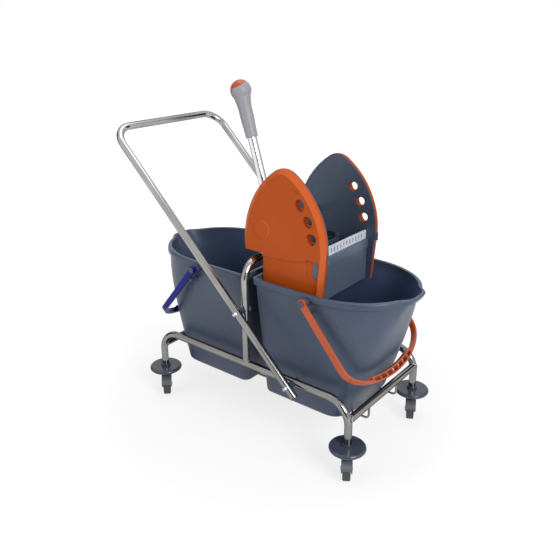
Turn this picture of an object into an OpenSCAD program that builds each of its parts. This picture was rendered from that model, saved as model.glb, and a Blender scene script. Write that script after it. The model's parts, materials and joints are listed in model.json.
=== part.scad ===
// Double mop bucket trolley: a chromed tube frame on four swivel casters that carries two
// lift-out buckets and, over the front bucket, a lever press with two leaf-shaped side panels.
// Millimetres. Z = 0 is the floor, X points to the front bucket and Y to the far side.
// The origin is the middle of the trolley's footprint.

/* [Frame tube] */
// Outside diameter of the frame tube
tube_d = 20; // [18:0.5:22]
// Wall of the frame tube
tube_wall = 1.5; // [1:0.1:2]
// Front to rear distance between the caster axes
wheelbase = 648; // [640:1:680]
// Near to far distance between the caster axes
track = 337; // [334:1:360]
// Height of the side rails' centre line
rail_z = 207; // [200:1:220]
// Bend radius where a rail turns down into its legs
rail_bend_r = 63; // [50:1:70]
// Height of the two cross tubes
cross_z = 161; // [155:1:165]
// Height of the hoop's crossbar
hoop_z = 491; // [486:1:496]
// Bend radius of the hoop's corners
hoop_bend_r = 50; // [40:1:60]

/* [Bucket cradle] */
// Diameter of the cradle rods
rod_d = 6; // [5:0.5:8]
// Sideways distance of each cradle rod from the middle
rod_y = 71; // [50:1:90]
// Height of the cradle rods' centre line
rod_z = 115; // [110:1:118]
// Bend radius of the cradle rods
rod_bend_r = 12; // [8:1:20]

/* [Push handle] */
// Length of the spacers between frame and handle
spacer_len = 10.5; // [9:0.5:14]
// Forward position of the handle's lower ends
handle_foot_x = 182; // [170:1:190]
// Height of the handle's lower ends
handle_foot_z = 185.5; // [180:0.5:190]
// Angle of the handle above the floor
handle_angle = 44.55; // [42:0.05:47]
// Length of the handle from its lower ends to the grip bar
handle_len = 857; // [820:1:880]
// Bend radius of the handle's corners
handle_bend_r = 55; // [40:1:70]
// Diameter of the handle bolts
bolt_d = 8; // [6:1:10]

/* [Casters] */
// Diameter of the bumper discs
bumper_d = 94; // [90:1:100]
// Thickness of the bumper discs
bumper_t = 12; // [10:1:14]
// Height of the bumper discs' underside
bumper_z = 78; // [77:0.5:80]
// Diameter of the caster stems
stem_d = 11; // [10:0.5:12]
// Wheel radius with its tyre
wheel_r = 30; // [28:0.5:30]
// Width of the tyre
wheel_w = 20; // [16:1:20]
// Distance from stem to axle
trail = 13; // [11:0.5:14]
// Diameter of the wheel axles
axle_d = 8; // [6:0.5:9]

/* [Buckets] */
// Height of the bucket
bucket_h = 334; // [320:1:340]
// Half width of the bucket at the rim
bucket_half_top = 153; // [146:1:154]
// Half width of the bucket at the bottom
bucket_half_low = 134.5; // [124:0.5:136]
// Length of the bucket at the rim, from flat end to round end
bucket_len_top = 368.5; // [356:0.5:372]
// Length of the bucket at the bottom
bucket_len_low = 254; // [246:1:258]
// Swell of the bucket's round end: 1 is straight, more is fuller below the rim
wall_swell = 1.1; // [1:0.02:1.2]
// Wall of the bucket
bucket_wall = 3.5; // [2.5:0.5:4]
// Overhang of the rolled rim
rim_w = 7; // [5:0.5:7]
// Height of the rolled rim
rim_h = 16; // [12:1:20]
// Reach of the pour spout past the rim
spout_reach = 14.5; // [10:0.5:20]
// Half width of the pour spout where it leaves the rim
spout_half = 62; // [52:1:66]

/* [Bails] */
// Distance of the bail pivots from the trolley's middle
pivot_x = 182; // [175:1:190]
// Height of the bail pivots
pivot_z = 432; // [426:1:434]
// Angle at which the bails hang below level
bail_angle = 50; // [47:0.5:52]
// Distance from pivot to the middle of the grip
bail_reach = 263; // [255:1:270]
// Width of the bail's strap
bail_w = 16; // [12:1:18]
// Thickness of the bail's strap
bail_t = 7; // [5:0.5:8]
// Depth of the open grip
grip_depth = 18; // [14:1:20]
// Number of windows in the grip
grip_windows = 7; // [5:1:7]
// Diameter of the bail pins
pin_d = 10; // [8:0.5:11]

/* [Press panels] */
// Half distance between the inner panels
panel_gap_half = 107.5; // [106.5:0.5:112]
// Thickness of the inner panels
panel_t = 4; // [3:0.5:4.5]
// Thickness of the covers
cover_t = 15.5; // [14:0.5:16.5]
// Wall of the covers
cover_wall = 3.5; // [2.5:0.5:4]
// Width of the bevel round the covers
bevel_w = 12; // [8:1:14]
// Depth of the bevel round the covers
bevel_d = 8; // [6:0.5:9]
// Radius of the panels' rear edge
leaf_rear_r = 228.5; // [222:0.5:236]
// Radius of the panels' front edge
leaf_front_r = 217.5; // [212:0.5:224]
// Radius of the panels' rounded top
leaf_top_r = 49; // [42:1:56]
// Height of the underside of the rear ears
ear_z = 510; // [509:0.5:512]
// Height of the press's bottom
press_z = 412; // [410:1:416]
// Diameter of the row of holes
hole_d = 21; // [16:1:24]

/* [Press drive] */
// Forward position of the shaft
shaft_x = 25; // [23:0.5:28]
// Height of the shaft
shaft_z = 575; // [574:0.5:577]
// Diameter of the shaft
shaft_d = 14; // [12:0.5:15]
// Pitch radius of the toothed sectors
pitch_r = 50; // [49.5:0.1:50.5]
// Tooth module
tooth_m = 3; // [2.8:0.1:3.1]
// Play between meshing flanks on each side
tooth_play = 0.32; // [0.3:0.02:0.45]
// Thickness of the sectors and racks
drive_t = 8; // [6:0.5:9]
// Turn of the lever over its full stroke
lever_stroke = 60; // [50:1:61]
// Gap left between plate and grid at the end of the stroke
squeeze_gap = 12; // [8:1:16]

/* [Lever] */
// Room between the lever's socket and the near sector
lever_room = 1.5; // [0.5:0.5:4]
// Rearward lean of the lever at rest
lever_lean = 17; // [14:0.5:20]
// Diameter of the lever tube
lever_d = 23; // [20:0.5:24]
// Distance from shaft to the middle of the knob
knob_reach = 341; // [330:1:350]
// Diameter of the knob
knob_d = 52; // [46:1:56]
// Diameter of the grip below the knob
lever_grip_d = 34; // [31:0.5:37]
// Distance from shaft to the lower end of the grip
lever_grip_start = 223; // [215:1:235]

/* [Hidden] */
$fn = 64;

// Colours
chrome = [0.80, 0.81, 0.83];
steel = [0.62, 0.63, 0.66];
bumper_grey = [0.26, 0.27, 0.33];
fork_grey = [0.40, 0.41, 0.44];
tyre_grey = [0.36, 0.36, 0.38];
bucket_grey = [0.31, 0.35, 0.42];
orange = [0.72, 0.33, 0.14];
bail_orange = [0.78, 0.38, 0.24];
bail_blue = [0.15, 0.18, 0.55];
grip_grey = [0.60, 0.60, 0.64];
pale = [0.86, 0.86, 0.92];

// Clearances
run_gap = 0.06;
slip_gap = 0.05;
fit_gap = 0.02;
seat_gap = 0.3;
move_gap = 0.4;

// Frame
tube_r = tube_d / 2;
bore_r = tube_r - tube_wall;
half_base = wheelbase / 2;
half_track = track / 2;
handle_half = half_track + 2 * tube_r + spacer_len;
rail_end = half_base - rail_bend_r;
bend_z = rail_z - rail_bend_r;
leg_z = bumper_z + bumper_t;
handle_top_x = handle_foot_x - handle_len * cos(handle_angle);
upper_bolt_z = handle_foot_z + handle_foot_x * tan(handle_angle);
lower_bolt_x = handle_foot_x - (rail_z - handle_foot_z) / tan(handle_angle);
bolt_r = bolt_d / 2;
bolt_head_r = 0.9 * bolt_d;
bolt_head_h = 4.5;
nut_r = 0.94 * bolt_d;
nut_h = 0.8 * bolt_d;
plug_t = 3;
plug_depth = 12;
collar_t = 4;
collar_h = 7;

// Casters
stem_r = stem_d / 2;
stem_head_r = stem_r + 2;
stem_head_h = 3;
stem_seat = 4;
stem_up = 40;
sleeve_h = 45;
crown_rise = 28;
crown_gap = 0.6;
crown_low = wheel_r + crown_rise;
crown_top = bumper_z - crown_gap;
crown_r = 14;
wheel_room = 1;
hood_t = 2.2;
cheek_t = 3;
hood_in = wheel_r + wheel_room;
hood_r = hood_in + hood_t;
cheek_in = wheel_w / 2 + wheel_room;
cheek_out = cheek_in + cheek_t;
hub_r = 0.7 * wheel_r;
axle_r = axle_d / 2;
heading = [["front_near", -58], ["front_far", -63], ["rear_near", -45], ["rear_far", -52]];

// Buckets
bucket_z = rod_z + rod_d / 2 + seat_gap;
rim_z = bucket_z + bucket_h;
lift_gap = 0.5;
back_draft = 12.5;
bucket_flat = tube_r + rim_w + lift_gap;
bucket_foot_flat = bucket_flat + back_draft;
rim_corner = 12;
rim_start = 0.48;
rim_power = 2.05;
foot_corner = 24;
foot_start = 0.71;
foot_power = 3.8;
bucket_end = bucket_flat + bucket_len_top;
bucket_foot_end = bucket_foot_flat + bucket_len_low;
spout_tip = bucket_end + rim_w + spout_reach;
spout_root = 20;
spout_lip = 28;
spout_drop = 66;
foot_round = 9;
wall_steps = 6;
shoulder_hold = 2;
thin = 0.02;
end_steps = 32;
corner_steps = 5;
pin_r = pin_d / 2;
boss_r = pin_r + 7;
boss_y = bucket_half_top + rim_w + 6.5;
bail_half = boss_y + 2 + bail_t / 2;
pin_end = bail_half + bail_t / 2 + 1.5;
bail_straight = bail_reach - 78;
lug_r = 5;
lug_along = 30;

// Press
cover_y = panel_gap_half + panel_t + 0.5;
cover_out = cover_y + cover_t;
low_drop = 3;
leaf_rear_x = -38.4;
leaf_front_x = 214;
leaf_low_x = 24;
leaf_foot_x = leaf_front_x - 11;
rear_c = [leaf_rear_x + leaf_rear_r, 537.2];
front_c = [leaf_front_x - leaf_front_r, 543.7];
leaf_steps = 14;
edge_w = 3;
step_mid_x = 96;
step_rise = 10;
web_top = ear_z + 18;
pocket_spot = [131, 686];
wall_x = leaf_foot_x - 13;
wall_t = 4;
wall_top = 524;
lip_low = 500;
lip_t = 3.5;
floor_t = 4;
beam_t = 4;
beam_x = leaf_low_x + 2;
beam_top = ear_z - 2;
hook_half = 56;
hook_low = hoop_z - 9;
grid_t = 9.6;
grid_back = wall_x - wall_t - 0.2 - grid_t;
grid_top = 556;
grid_slot = 18;
rib_pitch = 14;
travel = pitch_r * lever_stroke * PI / 180;
plate_t = 12;
plate_front = grid_back - squeeze_gap - travel;
plate_back = plate_front - plate_t;
plate_half = panel_gap_half - 3.5;
plate_low = press_z + floor_t + 3;
plate_top = 512;
drive_y = panel_gap_half - 2 - drive_t;
hole_spots = [[139.9, 655.5], [163.1, 618.7], [174.9, 578.3]];
clip_back = 36;
clip_drop = 7;
clip_x = leaf_front_x - clip_back;
clip_z = ear_z - clip_drop;
clip_w = 34;
clip_h = 44;
clip_play = 1;
clip_tab_w = 15;
clip_tab_x = clip_x + clip_w / 2 - clip_tab_w - clip_play;
clip_arm_up = 12;
clip_arm_low = ear_z + clip_arm_up;
clip_arm_h = 22;
clip_arm_t = 4;
clip_arm_reach = 4;
clip_arm_end = leaf_front_x + clip_arm_reach;
cap_r = 25;

// Teeth
tooth_pitch = PI * tooth_m;
pitch_step = tooth_pitch / pitch_r * 180 / PI;
tooth_half = (tooth_pitch / 2 - tooth_play) / 2;
pressure = 20;
base_r = pitch_r * cos(pressure);
tip_r = pitch_r + tooth_m;
root_r = pitch_r - 1.25 * tooth_m;
rack_z = shaft_z - pitch_r;
rack_root = rack_z - 1.25 * tooth_m;
rack_low = rack_root - 10;
ledge_t = 5.5;
ledge_low = rack_low - move_gap - ledge_t;
rack_tooth_first = -6;
rack_tooth_last = 1;
rack_tail = shaft_x + (rack_tooth_first + 0.5) * tooth_pitch - 7;
sector_first = -1;
sector_last = ceil(lever_stroke / pitch_step) + 1;

// Lever
shaft_r = shaft_d / 2;
bush_r = shaft_r + 4;
lever_r = lever_d / 2;
hub_half = 14;
socket_r = lever_r + 3.5;
socket_start = shaft_r + 15;
socket_end = 70;
socket_pin_r = 3;
socket_pin_z = 50;
lever_y = socket_r + lever_room - drive_y;
lever_end = knob_reach - knob_d / 2 - 12;
cap_cut = 0.64 * knob_d / 2;
grip_taper = 0.42 * (knob_reach - lever_grip_start);
grip_edge = 3.8;

// Return spring
wire_r = 1.6;
coil_r = shaft_r + 5;
coil_start = -18;
coil_step = 6.4;
coil_leg = 14;
coil_seat = 22;

// The trolley's middle in X, between the handle's grip bar and the front spout
middle_x = (spout_tip + handle_top_x - tube_r) / 2;

// Straight tube along Z, or its full round when solid is set
module pipe(length, solid = false) {
    linear_extrude(length)
    difference() {
        circle(tube_r);
        if (!solid) circle(bore_r);
    }
}

// Quarter bend of the tube in the XY plane, from the start angle on
module elbow(radius, start, solid = false) {
    rotate([0, 0, start])
    rotate_extrude(angle = 90)
    translate([radius, 0])
    difference() {
        circle(tube_r);
        if (!solid) circle(bore_r);
    }
}

// Child turned so that its XY plane stands in XZ
module upright_x() {
    rotate([90, 0, 0]) children();
}

// Child turned so that its XY plane stands in YZ
module upright_y() {
    rotate([90, 0, 90]) children();
}

// Child turned so that its Z runs along Y
module along_y() {
    rotate([-90, 0, 0]) children();
}

// XZ outline made into a plate between two Y values
module plate_y(low, high) {
    translate([0, high, 0])
    rotate([90, 0, 0])
    linear_extrude(high - low) children();
}

// Side frame of one tube: rail with both legs
module side_frame(side, solid = false) {
    translate([0, side * half_track, 0]) {
        translate([-rail_end, 0, rail_z]) rotate([0, 90, 0]) pipe(2 * rail_end, solid);
        for (end = [-1, 1]) {
            translate([end * half_base, 0, leg_z]) pipe(bend_z - leg_z, solid);
            translate([end * rail_end, 0, bend_z])
            upright_x() elbow(rail_bend_r, end > 0 ? 0 : 90, solid);
        }
    }
}

// Hoop over the frame's middle, with legs that start inside the rails
module hoop_tube(solid = false) {
    straight = half_track - hoop_bend_r;
    for (side = [-1, 1]) {
        translate([0, side * half_track, rail_z]) pipe(hoop_z - hoop_bend_r - rail_z, solid);
        translate([0, side * straight, hoop_z - hoop_bend_r])
        upright_y() elbow(hoop_bend_r, side > 0 ? 0 : 90, solid);
    }
    translate([0, -straight, hoop_z]) along_y() pipe(2 * straight, solid);
}

// Frame of the push handle: Z runs up the tubes from their lower ends
module handle_place() {
    translate([handle_foot_x, 0, handle_foot_z]) rotate([0, handle_angle - 90, 0]) children();
}

// Push handle in one bent tube
module handle_tube(solid = false) {
    straight = handle_half - handle_bend_r;
    handle_place() {
        for (side = [-1, 1]) {
            translate([0, side * handle_half, 0]) pipe(handle_len - handle_bend_r, solid);
            translate([0, side * straight, handle_len - handle_bend_r])
            upright_y() elbow(handle_bend_r, side > 0 ? 0 : 90, solid);
        }
        translate([0, -straight, handle_len]) along_y() pipe(2 * straight, solid);
    }
}

// Child at each of the four handle fixings, modelled along +Y
module at_fixings() {
    for (side = [0, 1])
        mirror([0, side, 0])
        for (spot = [[0, upper_bolt_z], [lower_bolt_x, rail_z]])
            translate([spot[0], 0, spot[1]]) children();
}

// Cross holes for the handle bolts
module bolt_holes() {
    at_fixings()
    translate([0, half_track - 2 * tube_r, 0])
    along_y() cylinder(r = bolt_r + 0.1, h = handle_half - half_track + 4 * tube_r);
}

module near_side_rail() {
    color(chrome)
    difference() {
        side_frame(-1);
        bolt_holes();
    }
}

module far_side_rail() {
    color(chrome)
    difference() {
        side_frame(1);
        bolt_holes();
    }
}

// Cross tube at one end, coped to the legs
module cross_tube(end) {
    color(chrome)
    difference() {
        translate([end * half_base, -half_track, cross_z]) along_y() pipe(track);
        for (side = [-1, 1]) side_frame(side, true);
    }
}

// Cradle rod: hangs from both cross tubes and runs under the buckets
module cradle_rod(side) {
    rod_r = rod_d / 2;
    flat_end = half_base - rod_bend_r;
    color(chrome)
    difference() {
        translate([0, side * rod_y, 0]) {
            translate([-flat_end, 0, rod_z]) rotate([0, 90, 0]) cylinder(r = rod_r, h = 2 * flat_end);
            for (end = [-1, 1]) {
                translate([end * half_base, 0, rod_z + rod_bend_r])
                cylinder(r = rod_r, h = cross_z - rod_z - rod_bend_r);
                translate([end * flat_end, 0, rod_z + rod_bend_r])
                upright_x()
                rotate([0, 0, end > 0 ? -90 : 180])
                rotate_extrude(angle = 90)
                translate([rod_bend_r, 0]) circle(rod_r);
            }
        }
        for (end = [-1, 1])
            translate([end * half_base, -half_track, cross_z]) along_y() pipe(track, true);
    }
}

module press_hoop() {
    color(chrome)
    difference() {
        hoop_tube();
        for (side = [-1, 1]) side_frame(side, true);
        bolt_holes();
    }
}

module push_handle() {
    color(chrome)
    difference() {
        handle_tube();
        bolt_holes();
    }
}

// Spacers between handle and frame, with ends that follow both tubes
module handle_spacers() {
    color(bumper_grey)
    difference() {
        at_fixings()
        translate([0, half_track, 0])
        along_y() cylinder(r = tube_r - 2, h = handle_half - half_track);
        for (side = [-1, 1]) side_frame(side, true);
        hoop_tube(true);
        handle_tube(true);
        bolt_holes();
    }
}

module handle_bolts() {
    inner_end = half_track - tube_r - nut_h - 2;
    color(steel) {
        at_fixings()
        translate([0, inner_end, 0])
        along_y() cylinder(r = bolt_r, h = handle_half + tube_r + 1 - inner_end);
        difference() {
            at_fixings()
            translate([0, handle_half + tube_r - 2, 0])
            along_y() cylinder(r1 = bolt_head_r, r2 = 0.6 * bolt_head_r, h = bolt_head_h + 2);
            handle_tube(true);
        }
    }
}

module handle_nuts() {
    color(steel)
    difference() {
        at_fixings()
        translate([0, half_track - tube_r - nut_h, 0])
        along_y() cylinder(r = nut_r, h = nut_h + 2, $fn = 6);
        for (side = [-1, 1]) side_frame(side, true);
        hoop_tube(true);
        at_fixings()
        translate([0, half_track - 3 * tube_r, 0])
        along_y() cylinder(r = bolt_r + slip_gap, h = 4 * tube_r);
    }
}

module handle_plugs() {
    color(bumper_grey)
    handle_place()
    for (side = [-1, 1])
        translate([0, side * handle_half, -plug_t]) {
            cylinder(r = tube_r, h = plug_t);
            cylinder(r = bore_r - slip_gap, h = plug_t + plug_depth);
        }
}

// Child at each caster axis
module at_corners() {
    for (end = [-1, 1], side = [-1, 1])
        translate([end * half_base, side * half_track, 0]) children();
}

// Bumper discs with a rounded edge and a collar round the leg's end
module bumper_discs() {
    bore = stem_r + slip_gap;
    edge_x = (bumper_d - bumper_t) / 2;
    color(bumper_grey)
    at_corners()
    rotate_extrude() {
        translate([bore, bumper_z]) square([edge_x - bore, bumper_t]);
        translate([edge_x, bumper_z + bumper_t / 2]) circle(bumper_t / 2);
        translate([tube_r + slip_gap, bumper_z]) square([collar_t, bumper_t + collar_h]);
    }
}

// Stems with a head that carries the fork
module caster_stems() {
    stem_low = crown_low + stem_seat;
    color(steel)
    at_corners() {
        translate([0, 0, stem_low]) cylinder(r = stem_r, h = leg_z + stem_up - stem_low);
        translate([0, 0, stem_low]) cylinder(r = stem_head_r, h = stem_head_h);
    }
}

module stem_sleeves() {
    color(bumper_grey)
    at_corners()
    translate([0, 0, leg_z])
    linear_extrude(sleeve_h)
    difference() {
        circle(bore_r - slip_gap);
        circle(stem_r + slip_gap);
    }
}

// Child in one caster's own frame: stem axis at the origin, wheel trailing along +X
module caster_place(index) {
    end = index < 2 ? 1 : -1;
    side = index % 2 == 0 ? -1 : 1;
    translate([end * half_base, side * half_track, 0])
    rotate([0, 0, heading[index][1]]) children();
}

// Hooded fork: crown on the stem, hood over the wheel, two cheeks down to the axle
module fork(index) {
    color(fork_grey)
    caster_place(index)
    difference() {
        union() {
            translate([0, 0, crown_low]) cylinder(r = crown_r, h = crown_top - crown_low);
            plate_y(-cheek_out, cheek_out)
            intersection() {
                translate([trail, wheel_r])
                difference() {
                    circle(hood_r);
                    circle(hood_in);
                }
                translate([-hood_r, wheel_r + 0.45 * wheel_r]) square([3 * hood_r, 2 * hood_r]);
            }
            for (side = [-1, 1])
                translate([0, side * (cheek_in + cheek_out) / 2, 0])
                plate_y((cheek_in - cheek_out) / 2, (cheek_out - cheek_in) / 2) {
                    intersection() {
                        translate([trail, wheel_r]) circle(hood_r);
                        translate([-hood_r, wheel_r + 0.3 * wheel_r]) square([3 * hood_r, 2 * hood_r]);
                    }
                    polygon([
                        [trail - 0.85 * hood_r, wheel_r + 0.45 * wheel_r],
                        [trail - axle_d, wheel_r],
                        [trail + axle_d, wheel_r],
                        [trail + 0.85 * hood_r, wheel_r + 0.45 * wheel_r]
                    ]);
                    translate([trail, wheel_r]) circle(axle_d + 1);
                }
        }
        translate([0, 0, crown_low - 1]) cylinder(r = stem_r + run_gap, h = bumper_z);
        cylinder(r = stem_head_r + 0.7, h = crown_low + stem_seat + stem_head_h + move_gap);
        translate([trail, -2 * cheek_out, wheel_r])
        along_y() cylinder(r = axle_r + fit_gap, h = 4 * cheek_out);
        translate([trail, -cheek_in, wheel_r]) along_y() cylinder(r = hood_in, h = 2 * cheek_in);
    }
}

module axle(index) {
    rivet_r = axle_r + 2;
    rivet_h = 1.6;
    color(steel)
    caster_place(index)
    translate([trail, 0, wheel_r]) {
        translate([0, -cheek_out, 0]) along_y() cylinder(r = axle_r, h = 2 * cheek_out);
        for (side = [0, 1])
            mirror([0, side, 0])
            translate([0, cheek_out, 0]) along_y() cylinder(r1 = rivet_r, r2 = rivet_r - 1, h = rivet_h);
    }
}

// Wheel hub with a dished web on both sides
module hub(index) {
    color(fork_grey)
    caster_place(index)
    translate([trail, 0, wheel_r])
    along_y()
    rotate_extrude()
    difference() {
        translate([axle_r + run_gap, -wheel_w / 2 + 0.5]) square([hub_r - axle_r - run_gap, wheel_w - 1]);
        for (side = [-1, 1])
            translate([0.62 * hub_r, side * wheel_w / 2]) circle(0.26 * hub_r);
    }
}

// Tyre with rounded shoulders
module tyre(index) {
    shoulder = 3.5;
    seat_r = hub_r + fit_gap;
    color(tyre_grey)
    caster_place(index)
    translate([trail, 0, wheel_r])
    along_y()
    rotate_extrude() {
        translate([seat_r, -wheel_w / 2]) square([wheel_r - shoulder - seat_r, wheel_w]);
        translate([seat_r, -wheel_w / 2 + shoulder]) square([wheel_r - seat_r, wheel_w - 2 * shoulder]);
        for (side = [-1, 1])
            translate([wheel_r - shoulder, side * (wheel_w / 2 - shoulder)]) circle(shoulder);
    }
}

// Plan outline of the bucket: flat end with round corners, straight sides, round outer end
function bucket_outline(flat, end, half, start, power, corner, grow) = concat(
    [for (i = [0 : end_steps])
        let (t = -90 + 180 * i / end_steps)
        [start + (end + grow - start) * pow(abs(cos(t)), 2 / power),
         sign(t) * (half + grow) * pow(abs(sin(t)), 2 / power)]],
    [for (i = [0 : corner_steps])
        let (t = 90 + 90 * i / corner_steps)
        [flat + corner + (corner + grow) * cos(t), half - corner + (corner + grow) * sin(t)]],
    [for (i = [0 : corner_steps])
        let (t = 180 + 90 * i / corner_steps)
        [flat + corner + (corner + grow) * cos(t), corner - half + (corner + grow) * sin(t)]]
);

function rim_outline(grow) = bucket_outline(
    bucket_flat, bucket_end, bucket_half_top,
    bucket_flat + rim_start * bucket_len_top, rim_power, rim_corner, grow);

function foot_outline(grow) = bucket_outline(
    bucket_foot_flat, bucket_foot_end, bucket_half_low,
    bucket_foot_flat + foot_start * bucket_len_low, foot_power, foot_corner, grow);

function between(low, high, share) = low + (high - low) * share;

// How far the round end has come from foot to rim at a share of the wall's height
function swell(share) = 1 - pow(1 - share, wall_swell);

// Outline of the wall at a share of its height: it keeps the foot's square shoulders well up
function wall_outline(share, grow) = bucket_outline(
    between(bucket_foot_flat, bucket_flat, share),
    between(bucket_foot_end, bucket_end, swell(share)),
    between(bucket_half_low, bucket_half_top, share),
    between(bucket_foot_flat + foot_start * bucket_len_low, bucket_flat + rim_start * bucket_len_top, share),
    between(foot_power, rim_power, pow(share, shoulder_hold)),
    between(foot_corner, rim_corner, share), grow);

// Thin slice of an outline at one height, for lofting
module slice(z, points) {
    translate([0, 0, z]) linear_extrude(thin) polygon(points);
}

// Loft from the rounded foot up the swelling wall to the rim
module bucket_loft(grow, low, high) {
    wall_low = low + foot_round;
    rings = concat(
        [[low, foot_outline(grow - 0.6 * foot_round)],
         [low + 0.4 * foot_round, foot_outline(grow - 0.15 * foot_round)]],
        [for (i = [0 : wall_steps])
            [between(wall_low, high, i / wall_steps), wall_outline(i / wall_steps, grow)]]
    );
    count = len(rings[0][1]);
    last = (len(rings) - 1) * count;
    polyhedron(
        [for (ring = rings) for (point = ring[1]) [point[0], point[1], ring[0]]],
        concat(
            [[for (k = [0 : count - 1]) k]],
            [for (i = [0 : len(rings) - 2]) for (k = [0 : count - 1])
                let (a = i * count + k, b = i * count + (k + 1) % count)
                [a, a + count, b + count]],
            [for (i = [0 : len(rings) - 2]) for (k = [0 : count - 1])
                let (a = i * count + k, b = i * count + (k + 1) % count)
                [a, b + count, b]],
            [[for (k = [count - 1 : -1 : 0]) last + k]]
        )
    );
}

// Plan outline of the spout beyond the rim
function spout_outline(grow) = [
    [bucket_end - spout_root, -spout_half - grow],
    [bucket_end + spout_reach + grow, -spout_lip - 0.5 * grow],
    [bucket_end + spout_reach + grow, spout_lip + 0.5 * grow],
    [bucket_end - spout_root, spout_half + grow]
];

// Spout that runs out into the wall below the rim
module spout_body(grow, low, high) {
    share = (low - bucket_z - foot_round) / (bucket_h - foot_round);
    wall_end = between(bucket_foot_end, bucket_end, swell(share));
    hull() {
        slice(low, [[wall_end - 30, -6], [wall_end + grow, -2], [wall_end + grow, 2], [wall_end - 30, 6]]);
        slice(high, spout_outline(grow));
    }
}

module rim_area(grow) {
    polygon(rim_outline(grow));
    polygon(spout_outline(grow));
}

// Bucket with rolled rim, spout, pivot bosses and the lugs that the bail rests on
module bucket_shell() {
    lug_out = bail_w / 2 + move_gap + lug_r;
    lug_x = pivot_x + lug_along * cos(bail_angle) - lug_out * sin(bail_angle);
    lug_z = pivot_z - lug_along * sin(bail_angle) - lug_out * cos(bail_angle);
    wall_y = bucket_half_low - 4;
    difference() {
        union() {
            bucket_loft(0, bucket_z, rim_z - thin);
            spout_body(0, rim_z - spout_drop, rim_z - thin);
            translate([0, 0, rim_z - rim_h])
            linear_extrude(rim_h)
            difference() {
                rim_area(rim_w);
                rim_area(rim_w - 2.5);
            }
            translate([0, 0, rim_z - bucket_wall])
            linear_extrude(bucket_wall)
            difference() {
                rim_area(rim_w - 0.5);
                rim_area(-bucket_wall);
            }
            for (side = [0, 1])
                mirror([0, side, 0]) {
                    translate([pivot_x, wall_y, pivot_z])
                    along_y() cylinder(r = boss_r, h = boss_y - wall_y);
                    translate([lug_x, wall_y, lug_z])
                    along_y() cylinder(r = lug_r, h = bail_half + bail_t / 2 - 1 - wall_y);
                }
        }
        bucket_loft(-bucket_wall, bucket_z + bucket_wall + 0.5, rim_z + 0.1);
        spout_body(-bucket_wall, rim_z - spout_drop + 2 * bucket_wall, rim_z + 0.1);
        for (side = [0, 1])
            mirror([0, side, 0])
            translate([pivot_x, boss_y - 12, pivot_z]) along_y() cylinder(r = pin_r + fit_gap, h = 30);
    }
}

// Pins that the bail turns on, with a flat head outside
module bail_pin_pair() {
    for (side = [0, 1])
        mirror([0, side, 0])
        translate([pivot_x, boss_y - 11.5, pivot_z])
        along_y() {
            cylinder(r = pin_r, h = pin_end - boss_y + 11.5);
            translate([0, 0, pin_end - boss_y + 11.5]) cylinder(r1 = pin_r + 3.5, r2 = pin_r + 2.5, h = 3);
        }
}

// Outline of the bail's outer or inner edge in its own plane, X from pivot to grip
function bail_outline(grow, tail) = concat(
    [[tail, -bail_half - grow]],
    [for (i = [0 : 40])
        let (t = -90 + 180 * i / 40)
        [bail_straight + (bail_reach - bail_straight + grow) * cos(t), (bail_half + grow) * sin(t)]],
    [[tail, bail_half + grow]]
);

// Band of the grip between two depths from the bail's outer edge
module grip_band(outer, inner) {
    out_reach = bail_reach - bail_straight + bail_t / 2;
    difference() {
        polygon([for (i = [0 : 40]) let (t = -90 + 180 * i / 40)
            [bail_straight + (out_reach - outer) * cos(t), (bail_half + bail_t / 2) * sin(t)]]);
        polygon([for (i = [0 : 40]) let (t = -90 + 180 * i / 40)
            [bail_straight + (out_reach - inner) * cos(t), (bail_half + bail_t / 2) * sin(t)]]);
    }
}

// Bail in its own plane: strap round the bucket's end with an open ladder grip and two eyes
module bail_strap() {
    window = 22;
    step = window + 5;
    grip_half = (grip_windows * step + 5) / 2;
    difference() {
        union() {
            linear_extrude(bail_w, center = true)
            difference() {
                union() {
                    difference() {
                        polygon(bail_outline(bail_t / 2, 0));
                        polygon(bail_outline(-bail_t / 2, -1));
                    }
                    intersection() {
                        grip_band(0, grip_depth);
                        translate([bail_straight, -grip_half]) square([2 * bail_reach, 2 * grip_half]);
                    }
                }
                for (i = [0 : grip_windows - 1])
                    intersection() {
                        grip_band(4, grip_depth - 4);
                        translate([bail_straight, (i - (grip_windows - 1) / 2) * step - window / 2])
                        square([2 * bail_reach, window]);
                    }
            }
            for (side = [0, 1])
                mirror([0, side, 0])
                translate([0, bail_half - bail_t / 2, 0]) along_y() cylinder(r = pin_r + 6, h = bail_t);
        }
        translate([0, -2 * bail_half, 0]) along_y() cylinder(r = pin_r + run_gap, h = 4 * bail_half);
    }
}

module hung_bail() {
    translate([pivot_x, 0, pivot_z]) rotate([0, bail_angle, 0]) bail_strap();
}

// Middle of the rounded top, tangent inside both edge arcs
function top_centre() =
    let (a = leaf_rear_r - leaf_top_r, b = leaf_front_r - leaf_top_r)
    let (gap = rear_c - front_c, far = norm(gap), along = (a * a - b * b + far * far) / (2 * far))
    let (up = sqrt(a * a - along * along), dir = -gap / far)
    rear_c + along * dir + up * [-dir[1], dir[0]] * (dir[0] < 0 ? -1 : 1);

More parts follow.
